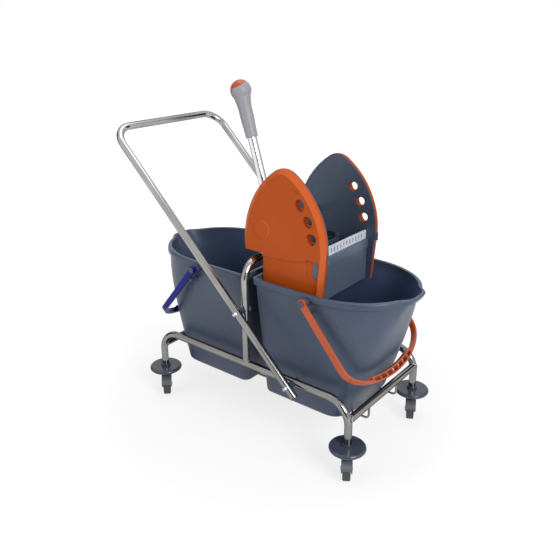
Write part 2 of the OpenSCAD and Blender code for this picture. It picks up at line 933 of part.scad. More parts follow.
// Upper leaf of the panels in XZ, drawn in by inset
function leaf_upper(inset, low) =
    let (top = top_centre(), rear_dir = top - rear_c, front_dir = top - front_c)
    let (rear_end = atan2(rear_dir[1], rear_dir[0]), front_end = atan2(front_dir[1], front_dir[0]))
    let (rear_r = leaf_rear_r - inset, front_r = leaf_front_r - inset, top_r = leaf_top_r - inset)
    let (rear_start = 180 + asin((rear_c[1] - low) / rear_r), front_start = 0)
    concat(
        [[front_edge(low) - inset, low]],
        [for (i = [0 : leaf_steps])
            let (t = front_start + (front_end - front_start) * i / leaf_steps)
            front_c + front_r * [cos(t), sin(t)]],
        [for (i = [1 : leaf_steps])
            let (t = front_end + (rear_end - front_end) * i / leaf_steps)
            top + top_r * [cos(t), sin(t)]],
        [for (i = [1 : leaf_steps])
            let (t = rear_end + (rear_start - rear_end) * i / leaf_steps)
            rear_c + rear_r * [cos(t), sin(t)]]
    );

// Inward lean of the panels' straight front edge, per unit of height
function leaf_slope() = (leaf_front_x - leaf_foot_x) / (front_c[1] - press_z);

// Position of the straight front edge at one height
function front_edge(z) = leaf_front_x - (front_c[1] - z) * leaf_slope();

// Lower part of the panels in XZ, below the ears, drawn in by inset and more at the front
function leaf_lower(inset, high, front = 0) = [
    [leaf_low_x + inset, press_z + inset],
    [front_edge(press_z + inset) - inset - front, press_z + inset],
    [front_edge(high) - inset - front, high],
    [leaf_low_x + inset, high]
];

module leaf_area(inset) {
    polygon(leaf_upper(inset, ear_z + inset));
    polygon(leaf_lower(inset, ear_z + inset + 0.5));
}

module hole_row(radius) {
    for (spot = hole_spots) translate(spot) circle(radius);
}

// Inner panel with the ledge that carries its rack
module inner_panel() {
    plate_y(panel_gap_half, panel_gap_half + panel_t)
    difference() {
        leaf_area(1.2);
        hole_row(hole_d / 2);
        translate([shaft_x, shaft_z]) circle(bush_r + fit_gap);
    }
    translate([rack_tail + 2, drive_y, ledge_low])
    cube([plate_back - 3 - rack_tail - 2, panel_gap_half - drive_y, ledge_t]);
}

// Area below the ears that lies deeper than the rest of the cover
function step_outline() =
    let (top = ear_z + step_rise, side = bevel_w + 2)
    [
        [leaf_low_x - 1, press_z - 1],
        [front_edge(press_z - 1) - side, press_z - 1],
        [front_edge(top) - side, top],
        [clip_x - clip_w / 2, top],
        [step_mid_x, ear_z],
        [leaf_low_x - 1, ear_z - 4]
    ];

// Cover: bevelled shell with a stepped lower area, tubes round the holes and a window for its clip
module cover() {
    skin = cover_out - cover_wall;
    low_out = cover_out - low_drop;
    shoulder = cover_out - bevel_d;
    difference() {
        union() {
            difference() {
                union() {
                    hull() {
                        plate_y(cover_y, shoulder) polygon(leaf_upper(0, ear_z));
                        plate_y(cover_out - thin, cover_out)
                        polygon(leaf_upper(bevel_w, ear_z + bevel_w / 3));
                    }
                    hull() {
                        plate_y(cover_y, shoulder) polygon(leaf_lower(0, ear_z + step_rise));
                        plate_y(cover_out - thin, cover_out)
                        polygon(leaf_lower(edge_w, ear_z + step_rise, bevel_w - edge_w));
                    }
                }
                plate_y(low_out, cover_out + 1) polygon(step_outline());
                plate_y(cover_y - 1, shoulder) polygon(leaf_upper(cover_wall, ear_z + cover_wall));
                plate_y(cover_y - 1, skin) polygon(leaf_upper(bevel_w + cover_wall, web_top));
                plate_y(cover_y - 1, shoulder) polygon(leaf_lower(cover_wall, ear_z + 6));
                plate_y(cover_y - 1, low_out - cover_wall)
                polygon(leaf_lower(cover_wall + edge_w, ear_z - bevel_w, bevel_w));
            }
            plate_y(cover_y, cover_out - 1.5) hole_row(hole_d / 2 + 3);
        }
        plate_y(cover_y - 1, cover_out + 1) hole_row(hole_d / 2);
        plate_y(cover_out - 2.5, cover_out + 1) hole_row(hole_d / 2 + 4);
        plate_y(cover_out - 1.5, cover_out + 1)
        translate(pocket_spot) rotate(46) square([6, 14], center = true);
        plate_y(low_out - 1.5, cover_out + 1)
        translate([clip_x - clip_w / 2, clip_z - clip_h / 2]) square([clip_w, clip_h]);
        plate_y(cover_y - 1, cover_out + 1)
        translate([clip_tab_x - move_gap, clip_z - clip_h / 2])
        square([clip_tab_w + 2 * move_gap, clip_h]);
        plate_y(cover_y - 1, cover_y + clip_arm_t)
        translate([clip_x, clip_arm_low - move_gap])
        square([2 * clip_arm_end - 2 * clip_x, clip_arm_h + 2 * move_gap]);
        translate([shaft_x, cover_y - 1, shaft_z]) along_y() cylinder(r = cap_r - 4, h = cover_t + 2);
    }
}

// Clips that hold the covers: a tab in the front half of each window and an arm round the front edge
module cover_clips() {
    tab_h = clip_h - 2 * clip_play;
    panel_y = panel_gap_half + panel_t;
    color(bucket_grey)
    for (side = [0, 1])
        mirror([0, side, 0]) {
            plate_y(panel_y, cover_out - low_drop - 0.5)
            translate([clip_tab_x, clip_z - tab_h / 2]) square([clip_tab_w, tab_h]);
            plate_y(panel_y, panel_y + clip_arm_t)
            translate([clip_tab_x, clip_arm_low]) square([clip_arm_end - clip_tab_x, clip_arm_h]);
        }
}

// Round caps over the shaft's ends: a low disc with a spigot in the cover
module pivot_caps() {
    color(orange)
    for (side = [0, 1])
        mirror([0, side, 0])
        translate([shaft_x, cover_out, shaft_z])
        along_y() {
            cylinder(r1 = cap_r, r2 = cap_r - 2, h = 2);
            translate([0, 0, -cover_wall]) cylinder(r = cap_r - 4 - slip_gap, h = cover_wall);
        }
}

// Front wall with a thick lip along its top
module press_front_wall() {
    color(bucket_grey)
    plate_y(-panel_gap_half, panel_gap_half) {
        translate([wall_x - wall_t, press_z]) square([wall_t, wall_top - press_z]);
        translate([wall_x - 1, lip_low]) square([lip_t + 1, wall_top - lip_low]);
    }
}

// Drain floor with rows of slots
module press_floor() {
    low_x = beam_x + beam_t;
    high_x = wall_x - wall_t;
    rows = 5;
    columns = 7;
    slot_x = (high_x - low_x) / rows;
    slot_y = 2 * panel_gap_half / columns;
    color(bucket_grey)
    difference() {
        translate([low_x, -panel_gap_half, press_z]) cube([high_x - low_x, 2 * panel_gap_half, floor_t]);
        for (i = [0 : rows - 1], j = [0 : columns - 1])
            translate([low_x + (i + 0.2) * slot_x, -panel_gap_half + (j + 0.3) * slot_y, press_z - 1])
            cube([0.6 * slot_x, 0.4 * slot_y, floor_t + 2]);
    }
}

// Rear beam with the hook that sits on the hoop's crossbar
module press_rear_beam() {
    slot_r = tube_r + 0.35;
    color(bucket_grey)
    difference() {
        union() {
            translate([beam_x, -panel_gap_half, press_z])
            cube([beam_t, 2 * panel_gap_half, ledge_low - press_z]);
            translate([-tube_r - 6, -hook_half, hook_low])
            cube([beam_x + tube_r + 6, 2 * hook_half, beam_top - hook_low]);
        }
        translate([0, -2 * hook_half, hoop_z]) along_y() cylinder(r = slot_r, h = 4 * hook_half);
        translate([-slot_r, -2 * hook_half, hook_low - 1])
        cube([2 * slot_r, 4 * hook_half, hoop_z - hook_low + 1]);
    }
}

// Number of ribs that fit a board of one half width
function rib_count(half) = floor(2 * half / rib_pitch);

// Vertical ribs with round backs on one face of a board
module ribs(half, low, high, depth) {
    count = rib_count(half);
    for (i = [0 : count - 1])
        translate([0, (i - (count - 1) / 2) * rib_pitch, low]) cylinder(r = depth, h = high - low, $fn = 24);
}

// Pale counter grid inside the front wall: ribs to the mop side, drain slots between them
module counter_grid() {
    rib = 4;
    half = panel_gap_half - 1;
    low = press_z + floor_t;
    gaps = rib_count(half - 4) - 1;
    slot_w = 0.4 * rib_pitch;
    slot_low = grid_top - grid_slot - 7;
    color(pale)
    union() {
        difference() {
            translate([grid_back + rib, -half, low]) cube([grid_t - rib, 2 * half, grid_top - low]);
            for (i = [0 : gaps - 1])
                translate([grid_back, (i - (gaps - 1) / 2) * rib_pitch - slot_w / 2, slot_low])
                cube([2 * grid_t, slot_w, grid_slot]);
        }
        translate([grid_back + rib, 0, 0]) ribs(half - 4, low, grid_top - 5, rib);
    }
}

module shaft_bushes() {
    color(pale)
    for (side = [0, 1])
        mirror([0, side, 0])
        translate([shaft_x, panel_gap_half - 1, shaft_z])
        along_y()
        linear_extrude(panel_t + 2)
        difference() {
            circle(bush_r);
            circle(shaft_r + run_gap);
        }
}

// Points along the torsion spring: leg on the hook, turns round the shaft, leg beside the lever
function spring_point(i, turns, per_turn) =
    let (n = turns * per_turn)
    i < 2 ? [shaft_x - coil_r, coil_start, beam_top + seat_gap + i * (shaft_z - beam_top - coil_seat)]
    : i - 2 <= n ? let (t = 180 - 360 * (i - 2) / per_turn)
        [shaft_x + coil_r * cos(t), coil_start - coil_step * (i - 2) / per_turn, shaft_z + coil_r * sin(t)]
    : let (k = i - 2 - n)
        [shaft_x - coil_r - coil_leg * k * sin(lever_lean), coil_start - coil_step * turns,
         shaft_z + coil_leg * k];

// Torsion spring that brings the lever back up
module return_spring() {
    turns = 6;
    per_turn = 18;
    sides = 8;
    last = turns * per_turn + 4;
    path = [for (i = [0 : last]) spring_point(i, turns, per_turn)];
    apart = per_turn / 2;
    nearest = min([for (i = [0 : last - apart], j = [i + apart : last]) norm(path[i] - path[j])]);
    echo(spring_gap = nearest - 2 * wire_r);
    rings = [for (i = [0 : last])
        let (ahead = path[min(i + 1, last)] - path[max(i - 1, 0)])
        let (axis = ahead / norm(ahead), one = cross(axis, [0, 1, 0]), flat = one / norm(one))
        let (other = cross(axis, flat))
        for (k = [0 : sides - 1])
            path[i] + wire_r * (cos(360 * k / sides) * flat + sin(360 * k / sides) * other)];
    walls = [for (i = [0 : last - 1], k = [0 : sides - 1])
        let (next = (k + 1) % sides)
        [i * sides + k, i * sides + next, (i + 1) * sides + next, (i + 1) * sides + k]];
    color(steel)
    polyhedron(rings, concat(
        [[for (k = [sides - 1 : -1 : 0]) k]],
        walls,
        [[for (k = [0 : sides - 1]) last * sides + k]]
    ), convexity = 8);
}

module press_shaft() {
    shaft_half = panel_gap_half + panel_t + 6;
    color(steel)
    translate([shaft_x, -shaft_half, shaft_z]) along_y() cylinder(r = shaft_r, h = 2 * shaft_half);
}

// Angle that an involute has turned at one radius
function involute(radius) =
    let (a = acos(min(1, base_r / radius)))
    tan(a) * 180 / PI - a;

// Half angle of a sector tooth at one radius
function tooth_angle(radius) =
    tooth_half / pitch_r * 180 / PI + involute(pitch_r) - involute(max(radius, base_r));

// Sector outline in XZ round the shaft: teeth from first to last, counted rearward from straight down
function sector_outline(first, last) = concat(
    [[0, 0]],
    [for (k = [last : -1 : first])
        let (middle = -90 - k * pitch_step)
        each concat(
            [for (i = [0 : 6])
                let (r = root_r + (tip_r - root_r) * i / 6)
                r * [cos(middle - tooth_angle(r)), sin(middle - tooth_angle(r))]],
            [for (i = [6 : -1 : 0])
                let (r = root_r + (tip_r - root_r) * i / 6)
                r * [cos(middle + tooth_angle(r)), sin(middle + tooth_angle(r))]]
        )]
);

// Two toothed sectors on the shaft, one beside each panel
module drive_sectors() {
    color(steel)
    for (side = [0, 1])
        mirror([0, side, 0])
        translate([shaft_x, 0, shaft_z])
        plate_y(drive_y, drive_y + drive_t)
        difference() {
            union() {
                polygon(sector_outline(sector_first, sector_last));
                circle(shaft_r + 6);
            }
            circle(shaft_r + fit_gap);
        }
}

// Rack tooth in XZ, centred on its pitch line
module rack_tooth() {
    lean = tan(pressure);
    high = tooth_half - tooth_m * lean;
    low = tooth_half + 1.25 * tooth_m * lean;
    foot = -1.25 * tooth_m - 0.1;
    polygon([[-low, foot], [low, foot], [high, tooth_m], [-high, tooth_m]]);
}

// Two racks that push the plate, on the ledges of the inner panels
module press_racks() {
    color(steel)
    for (side = [0, 1])
        mirror([0, side, 0])
        plate_y(drive_y, drive_y + drive_t) {
            translate([rack_tail, rack_low]) square([plate_back - rack_tail, rack_root - rack_low]);
            for (k = [rack_tooth_first : rack_tooth_last])
                translate([shaft_x + (k + 0.5) * tooth_pitch, rack_z]) rack_tooth();
        }
}

// Press plate: ribbed board with two upper corners that take the racks
module press_plate() {
    rib = 5;
    ear = 15;
    color(grip_grey)
    union() {
        translate([plate_back, -plate_half, plate_low])
        cube([plate_t - rib, 2 * plate_half, plate_top - plate_low]);
        for (side = [0, 1])
            mirror([0, side, 0])
            translate([plate_back, plate_half - ear, plate_top - 1])
            cube([plate_t - rib, ear, rack_z - plate_top]);
        translate([plate_front - rib, 0, 0]) ribs(plate_half - 4, plate_low, plate_top - 4, rib);
    }
}

// Child in the lever's frame: shaft axis at the origin, lever along +Z
module lever_place() {
    translate([shaft_x, lever_y, shaft_z]) rotate([0, -lever_lean, 0]) children();
}

module pin_bore(radius) {
    translate([0, -2 * socket_r, socket_pin_z]) along_y() cylinder(r = radius, h = 4 * socket_r);
}

// Socket: hub on the shaft with a sleeve for the lever tube
module lever_socket() {
    color(fork_grey)
    lever_place()
    difference() {
        union() {
            translate([0, -hub_half, 0]) along_y() cylinder(r = shaft_r + 9, h = 2 * hub_half);
            cylinder(r = socket_r, h = socket_end);
        }
        translate([0, -2 * hub_half, 0]) along_y() cylinder(r = shaft_r + fit_gap, h = 4 * hub_half);
        translate([0, 0, socket_start]) cylinder(r = lever_r + fit_gap, h = socket_end);
        pin_bore(socket_pin_r + fit_gap);
    }
}

module socket_pin() {
    color(steel)
    lever_place()
    translate([0, -socket_r - 1, socket_pin_z]) along_y() cylinder(r = socket_pin_r, h = 2 * socket_r + 2);
}

module lever_tube() {
    color(chrome)
    lever_place()
    difference() {
        translate([0, 0, socket_start])
        linear_extrude(lever_end - socket_start)
        difference() {
            circle(lever_r);
            circle(lever_r - tube_wall);
        }
        pin_bore(socket_pin_r + fit_gap);
    }
}

// Grip and ball knob in one moulding over the tube's end
module lever_grip() {
    grip_r = lever_grip_d / 2;
    color(grip_grey)
    lever_place()
    difference() {
        union() {
            translate([0, 0, lever_grip_start])
            cylinder(r1 = lever_r + grip_edge, r2 = grip_r, h = grip_taper);
            translate([0, 0, lever_grip_start + grip_taper])
            cylinder(r = grip_r, h = knob_reach - lever_grip_start - grip_taper);
            translate([0, 0, knob_reach]) sphere(r = knob_d / 2);
        }
        translate([0, 0, lever_grip_start - 1])
        cylinder(r = lever_r + fit_gap, h = lever_end + 1 - lever_grip_start);
        translate([0, 0, knob_reach + cap_cut]) cylinder(r = knob_d, h = knob_d);
    }
}

module knob_cap() {
    color(orange)
    lever_place()
    intersection() {
        translate([0, 0, knob_reach]) sphere(r = knob_d / 2);
        translate([0, 0, knob_reach + cap_cut + fit_gap]) cylinder(r = knob_d, h = knob_d);
    }
}

// Everything moves to the middle of the trolley's footprint
module place() {
    translate([-middle_x, 0, 0]) children();
}

place() near_side_rail();
place() far_side_rail();
place() cross_tube(1);  // front_cross_tube
place() cross_tube(-1);  // rear_cross_tube
place() cradle_rod(-1);  // near_cradle_rod
place() cradle_rod(1);  // far_cradle_rod
place() press_hoop();
place() push_handle();
place() handle_spacers();
place() handle_bolts();
place() handle_nuts();
place() handle_plugs();
place() bumper_discs();
place() caster_stems();
place() stem_sleeves();
place() fork(0);  // front_near_fork
place() axle(0);  // front_near_axle
place() hub(0);  // front_near_hub
place() tyre(0);  // front_near_tyre
place() fork(1);  // front_far_fork
place() axle(1);  // front_far_axle
place() hub(1);  // front_far_hub
place() tyre(1);  // front_far_tyre
place() fork(2);  // rear_near_fork
place() axle(2);  // rear_near_axle
place() hub(2);  // rear_near_hub
place() tyre(2);  // rear_near_tyre
place() fork(3);  // rear_far_fork
place() axle(3);  // rear_far_axle
place() hub(3);  // rear_far_hub
place() tyre(3);  // rear_far_tyre
place() color(bucket_grey) bucket_shell();  // front_bucket
place() color(bucket_grey) bail_pin_pair();  // front_bail_pins
place() color(bail_orange) hung_bail();  // front_bail
place() color(bucket_grey) mirror([1, 0, 0]) bucket_shell();  // rear_bucket
place() color(bucket_grey) mirror([1, 0, 0]) bail_pin_pair();  // rear_bail_pins
place() color(bail_blue) mirror([1, 0, 0]) hung_bail();  // rear_bail
place() color(bucket_grey) mirror([0, 1, 0]) inner_panel();  // near_inner_panel
place() color(bucket_grey) inner_panel();  // far_inner_panel
place() color(orange) mirror([0, 1, 0]) cover();  // near_cover
place() color(orange) cover();  // far_cover
place() cover_clips();
place() pivot_caps();
place() press_front_wall();
place() press_floor();
place() press_rear_beam();
place() counter_grid();
place() shaft_bushes();
place() return_spring();
place() press_shaft();
place() drive_sectors();
place() lever_socket();
place() socket_pin();
place() lever_tube();
place() lever_grip();
place() knob_cap();
place() press_plate();
place() press_racks();
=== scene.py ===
import json
import math

import bmesh
import bpy
import numpy as np
from mathutils import Matrix, Vector


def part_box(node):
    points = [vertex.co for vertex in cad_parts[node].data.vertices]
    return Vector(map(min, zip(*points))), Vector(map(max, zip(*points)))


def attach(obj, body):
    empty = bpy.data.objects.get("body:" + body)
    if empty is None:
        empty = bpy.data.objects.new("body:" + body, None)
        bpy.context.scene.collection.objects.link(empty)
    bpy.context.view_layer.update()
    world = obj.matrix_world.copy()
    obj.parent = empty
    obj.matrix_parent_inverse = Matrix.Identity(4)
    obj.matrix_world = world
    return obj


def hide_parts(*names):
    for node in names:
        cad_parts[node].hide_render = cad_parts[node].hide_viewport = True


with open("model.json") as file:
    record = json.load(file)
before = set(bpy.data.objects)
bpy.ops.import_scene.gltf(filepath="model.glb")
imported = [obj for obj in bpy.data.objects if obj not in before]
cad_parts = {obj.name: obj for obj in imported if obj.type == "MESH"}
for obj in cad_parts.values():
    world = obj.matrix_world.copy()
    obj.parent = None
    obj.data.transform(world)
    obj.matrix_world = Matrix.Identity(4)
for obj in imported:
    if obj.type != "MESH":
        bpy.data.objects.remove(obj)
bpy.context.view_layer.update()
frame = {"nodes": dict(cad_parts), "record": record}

# Frame tubes: two bent side rails, two cross tubes, two wire cradle rods and the hoop that takes
# the press. All are bright chromed steel with a faint haze and fine marks from wiping.
mm = 0.001
hoop_low, hoop_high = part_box("press_hoop")
hoop_x = (hoop_low.x + hoop_high.x) / 2 / mm


def at(x, y, z):
    """Point in metres from millimetres counted from the hoop's middle plane and the floor."""
    return Vector(((x + hoop_x) * mm, y * mm, z * mm))


def in_scene(name, data):
    """New object in the scene."""
    item = bpy.data.objects.new(name, data)
    bpy.context.scene.collection.objects.link(item)
    return item


def new_finish(name):
    """Empty finish with its node tree, its shader and the piece's own coordinates."""
    finish = bpy.data.materials.new(name)
    finish.use_nodes = True
    tree = finish.node_tree
    coords = tree.nodes.new("ShaderNodeTexCoord").outputs["Object"]
    return finish, tree, tree.nodes["Principled BSDF"], coords


def put(tree, kind, sockets=None, **settings):
    """Node of one kind with its settings, and sockets that are linked or set."""
    node = tree.nodes.new(kind)
    for key, value in settings.items():
        setattr(node, key, value)
    for key, value in (sockets or {}).items():
        if isinstance(value, bpy.types.NodeSocket):
            tree.links.new(value, node.inputs[key])
        else:
            node.inputs[key].default_value = value
    return node


def worked(tree, operation, *values):
    """Result of a maths node on values or value sockets."""
    return put(tree, "ShaderNodeMath", dict(enumerate(values)), operation=operation).outputs[0]


def times(tree, one, other):
    """Product of two values or value sockets."""
    return worked(tree, "MULTIPLY", one, other)


def noise(tree, coords, scale, detail=3.0, roughness=0.5):
    """Noise over a piece's coordinates."""
    sockets = {"Vector": coords, "Scale": scale, "Detail": detail, "Roughness": roughness}
    return put(tree, "ShaderNodeTexNoise", sockets).outputs["Fac"]


def ramp(tree, value, low, high, out_low=0.0, out_high=1.0):
    """Value taken from one range to another, held at the ends."""
    sockets = {"Value": value, "From Min": low, "From Max": high,
               "To Min": out_low, "To Max": out_high}
    return put(tree, "ShaderNodeMapRange", sockets).outputs["Result"]


def shade_between(tree, mask, one, other):
    """Colour between two colours or colour sockets, by a mask."""
    pair = [c if isinstance(c, bpy.types.NodeSocket) else (*c, 1.0) for c in (one, other)]
    sockets = {0: mask, 6: pair[0], 7: pair[1]}
    return put(tree, "ShaderNodeMix", sockets, data_type="RGBA").outputs[2]


def relief(tree, shader, height, strength, distance):
    """Fine relief on a finish, by bump."""
    sockets = {"Height": height, "Strength": strength, "Distance": distance}
    bump = put(tree, "ShaderNodeBump", sockets)
    tree.links.new(bump.outputs["Normal"], shader.inputs["Normal"])


def effect(name, inputs, outputs):
    """Shader group with a vector, named values and outputs; returns it, its inputs and outlet."""
    group = bpy.data.node_groups.new(name, "ShaderNodeTree")
    group.interface.new_socket("Vector", in_out="INPUT", socket_type="NodeSocketVector")
    for label in inputs:
        group.interface.new_socket(label, in_out="INPUT", socket_type="NodeSocketFloat")
    for label in outputs:
        group.interface.new_socket(label, in_out="OUTPUT", socket_type="NodeSocketFloat")
    given = group.nodes.new("NodeGroupInput").outputs
    return group, given, group.nodes.new("NodeGroupOutput")


def place(tree, group, sockets):
    """Shader group placed in a finish."""
    return put(tree, "ShaderNodeGroup", sockets, node_tree=group).outputs


wiping, given, outlet = effect("wiping_marks", ["Haze scale", "Line scale"], ["Haze", "Lines"])
haze = noise(wiping, given["Vector"], given["Haze scale"], 4.0, 0.6)
wiping.links.new(ramp(wiping, haze, 0.35, 0.7), outlet.inputs["Haze"])
stretch = {"Vector": given["Vector"], "Rotation": (0.4, 0.7, 0.2), "Scale": (1.0, 1.0, 0.06)}
stretched = put(wiping, "ShaderNodeMapping", stretch).outputs["Vector"]
lines = noise(wiping, stretched, given["Line scale"], 2.0, 0.7)
wiping.links.new(ramp(wiping, lines, 0.52, 0.75), outlet.inputs["Lines"])


def bright_metal(name, pale, dull, gloss, line_scale, line_depth, edge=0.55, low_darkening=0.0):
    """Plated metal: haze shifts tone and gloss, wiping lines catch the light, edges turn darker.

    Its tone turns darker towards the floor, by a share.
    """
    haze_scale, line_gloss, line_height = 9.0, 0.12, 0.0002
    low_darkening_full, low_darkening_end, low_darkening_shade = 0.25, 0.60, 0.5
    finish, tree, shader, coords = new_finish(name)
    sizes = {"Vector": coords, "Haze scale": haze_scale, "Line scale": line_scale}
    marks = place(tree, wiping, sizes)
    tone = shade_between(tree, marks["Haze"], pale, dull)
    if low_darkening:
        # The tone turns darker towards the floor, fully up to 25 cm and fading out by 60 cm.
        height = put(tree, "ShaderNodeSeparateXYZ", {0: coords}).outputs["Z"]
        darker_low = ramp(tree, height, low_darkening_full, low_darkening_end, low_darkening, 0.0)
        tone = shade_between(tree, darker_low, tone, [channel * low_darkening_shade for channel in dull])
    tree.links.new(tone, shader.inputs["Base Color"])
    hazy = ramp(tree, marks["Haze"], 0.0, 1.0, *gloss)
    lined = times(tree, marks["Lines"], line_gloss)
    tree.links.new(worked(tree, "ADD", hazy, lined), shader.inputs["Roughness"])
    shader.inputs["Metallic"].default_value = 1.0
    shader.inputs["Specular Tint"].default_value = (edge, edge, edge, 1.0)
    relief(tree, shader, marks["Lines"], line_depth, line_height)
    return finish


chrome = bright_metal("bright_chrome", (0.44, 0.435, 0.425), (0.31, 0.304, 0.292),
                      gloss=(0.06, 0.16), line_scale=260.0, line_depth=0.05, edge=0.3, low_darkening=0.55)


def dress(finish, slot, *names):
    """Gives CAD pieces their finish."""
    for name in names:
        node = frame["nodes"][name]
        node.data.materials.clear()
        node.data.materials.append(finish)


def body_of(node):
    """Name of the body that a CAD piece belongs to."""
    bodies = frame["record"]["behaviour"]["bodies"]
    return next(body for body, members in bodies.items() if node in members)


def plain_mesh(holder):
    """Mesh of an object with its modifiers worked in; the object itself goes."""
    shaped = holder.evaluated_get(bpy.context.evaluated_depsgraph_get())
    mesh = bpy.data.meshes.new_from_object(shaped)
    holder.modifiers.clear()
    bpy.data.objects.remove(holder)
    return mesh


def smooth_curves(form, limit):
    """Shades curved faces smooth and keeps the edges that turn more than a limit sharp."""
    for face in form.faces:
        face.smooth = True
    for side in form.edges:
        side.smooth = side.is_manifold and side.calc_face_angle(0.0) < limit


def eased(node, finish, edge, sharp=32.0, segments=2, reshape=None):
    """Stands for a CAD piece: the same solid with its edges eased and its curved faces smooth.

    Lengths of eased edges are in millimetres and the angle that counts as sharp in degrees.
    """
    merge_within, level_within = 2e-6, math.radians(0.3)
    solid = bmesh.new()
    solid.from_mesh(frame["nodes"][node].data)
    bmesh.ops.remove_doubles(solid, verts=solid.verts, dist=merge_within)
    if reshape:
        reshape(solid.verts)
    bmesh.ops.dissolve_limit(solid, angle_limit=level_within, verts=solid.verts, edges=solid.edges)
    limit = math.radians(sharp)
    if edge > 0:
        corners = [e for e in solid.edges if e.is_manifold and e.calc_face_angle(0.0) > limit]
        bmesh.ops.bevel(solid, geom=corners, offset=edge * mm, offset_type="OFFSET",
                        segments=segments, profile=0.5, affect="EDGES", clamp_overlap=True)
    smooth_curves(solid, limit)
    mesh = bpy.data.meshes.new(node + "_eased")
    solid.to_mesh(mesh)
    solid.free()
    mesh.materials.append(finish)
    holder = in_scene(node + "_holder", mesh)
    levelled = holder.modifiers.new("level", "WEIGHTED_NORMAL")
    levelled.keep_sharp = True
    piece = in_scene(node + "_eased", plain_mesh(holder))
    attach(piece, body_of(node))
    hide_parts(node)


for tube in ("near_side_rail", "far_side_rail", "front_cross_tube", "rear_cross_tube",
             "near_cradle_rod", "far_cradle_rod", "press_hoop"):
    eased(tube, chrome, 0)

# Weld beads: short runs of weld round each coped joint, where the hoop stands on the rails, the
# cross tubes meet the legs and the wire rods meet the cross tubes. Plated over with the frame.
tube_r, rod_r = 10.0, 3.0
rail_low, rail_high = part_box("near_side_rail")
cross_low, cross_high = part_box("front_cross_tube")
rail_z = rail_high.z / mm - tube_r
leg_x = rail_high.x / mm - hoop_x - tube_r
track_y = -(rail_low.y + rail_high.y) / 2 / mm
cross_z = (cross_low.z + cross_high.z) / 2 / mm
rod_low, rod_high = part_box("near_cradle_rod")
rod_y = -(rod_low.y + rod_high.y) / 2 / mm
bent_in = 2.3
weld_steps = 40
turns = [2 * math.pi * i / weld_steps for i in range(weld_steps)]
on_leg = [math.sqrt(max(0.0, tube_r ** 2 - (tube_r * math.cos(t) + bent_in) ** 2)) for t in turns]
on_cross = [math.sqrt(tube_r ** 2 - (rod_r * math.cos(t)) ** 2) for t in turns]
weld_lines = []
for side in (-1, 1):
    weld_lines.append([at(tube_r * math.cos(t), side * track_y + tube_r * math.sin(t),
                          rail_z + tube_r * abs(math.cos(t))) for t in turns])
    for end in (-1, 1):
        weld_lines.append([at(end * (leg_x + tube_r * math.cos(t)), side * (track_y - inward),
                              cross_z + tube_r * math.sin(t)) for t, inward in zip(turns, on_leg)])
        weld_lines.append([at(end * (leg_x + rod_r * math.cos(t)),
                              side * rod_y + rod_r * math.sin(t),
                              cross_z - below) for t, below in zip(turns, on_cross)])

weld_path = bpy.data.curves.new("frame_weld_path", "CURVE")
weld_path.dimensions = "3D"
for points in weld_lines:
    spline = weld_path.splines.new("POLY")
    spline.points.add(len(points) - 1)
    for point, spot in zip(spline.points, points):
        point.co = (*spot, 1.0)
    spline.use_cyclic_u = True


def path_tree(name, inputs):
    """Geometry tree with a curve coming in and a mesh going out; returns tree, inlet and outlet."""
    tree = bpy.data.node_groups.new(name, "GeometryNodeTree")
    tree.interface.new_socket("Geometry", in_out="INPUT", socket_type="NodeSocketGeometry")
    for label, kind in inputs:
        tree.interface.new_socket(label, in_out="INPUT", socket_type=kind)
    tree.interface.new_socket("Geometry", in_out="OUTPUT", socket_type="NodeSocketGeometry")
    return tree, tree.nodes.new("NodeGroupInput").outputs, tree.nodes.new("NodeGroupOutput")


def grown(name, data, tree, values, body):
    """Plain mesh from a curve and a geometry tree, riding on one body."""
    maker = in_scene(name + "_maker", data)
    modifier = maker.modifiers.new("grow", "NODES")
    modifier.node_group = tree
    for item in tree.interface.items_tree:
        if item.in_out == "INPUT" and item.name in values:
            modifier[item.identifier] = values[item.name]
    piece = in_scene(name, plain_mesh(maker))
    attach(piece, body)


beads, inlet, outlet = path_tree("weld_bead_run", [
    ("Bead radius", "NodeSocketFloat"), ("Bead spacing", "NodeSocketFloat"),
    ("Seed", "NodeSocketInt"), ("Finish", "NodeSocketMaterial")])
spaced = put(beads, "GeometryNodeResampleCurve",
             {"Curve": inlet["Geometry"], "Length": inlet["Bead spacing"]}, mode="LENGTH")
bead = put(beads, "GeometryNodeMeshIcoSphere", {"Radius": inlet["Bead radius"], "Subdivisions": 2})
smallest, largest = 0.85, 1.2
swell = put(beads, "FunctionNodeRandomValue",
            {"Seed": inlet["Seed"], 2: smallest, 3: largest}, data_type="FLOAT")
laid = put(beads, "GeometryNodeInstanceOnPoints",
           {"Points": spaced.outputs["Curve"], "Instance": bead.outputs["Mesh"],
            "Scale": swell.outputs[1]})
fused = put(beads, "GeometryNodeRealizeInstances", {"Geometry": laid.outputs["Instances"]})
rounded = put(beads, "GeometryNodeSetShadeSmooth", {"Geometry": fused.outputs["Geometry"]})
coated = put(beads, "GeometryNodeSetMaterial",
             {"Geometry": rounded.outputs["Geometry"], "Material": inlet["Finish"]})
beads.links.new(coated.outputs["Geometry"], outlet.inputs["Geometry"])

weld_finish = bright_metal("plated_weld", (0.46, 0.46, 0.45), (0.34, 0.34, 0.33),
                           gloss=(0.2, 0.36), line_scale=500.0, line_depth=0.2)
grown("frame_welds", weld_path, beads,
      {"Bead radius": 1.5 * mm, "Bead spacing": 1.7 * mm, "Seed": 4, "Finish": weld_finish},
      "frame")

# Push handle: one length of the same chromed tube in a U, bolted outside hoop and rails on short
# plastic spacers, with plastic plugs in its lower ends.
eased("push_handle", chrome, 0)

zinc = bright_metal("zinc_plate", (0.55, 0.55, 0.56), (0.38, 0.39, 0.41),
                    gloss=(0.26, 0.42), line_scale=420.0, line_depth=0.12)
eased("handle_bolts", zinc, 0.5)
eased("handle_nuts", zinc, 0.5)

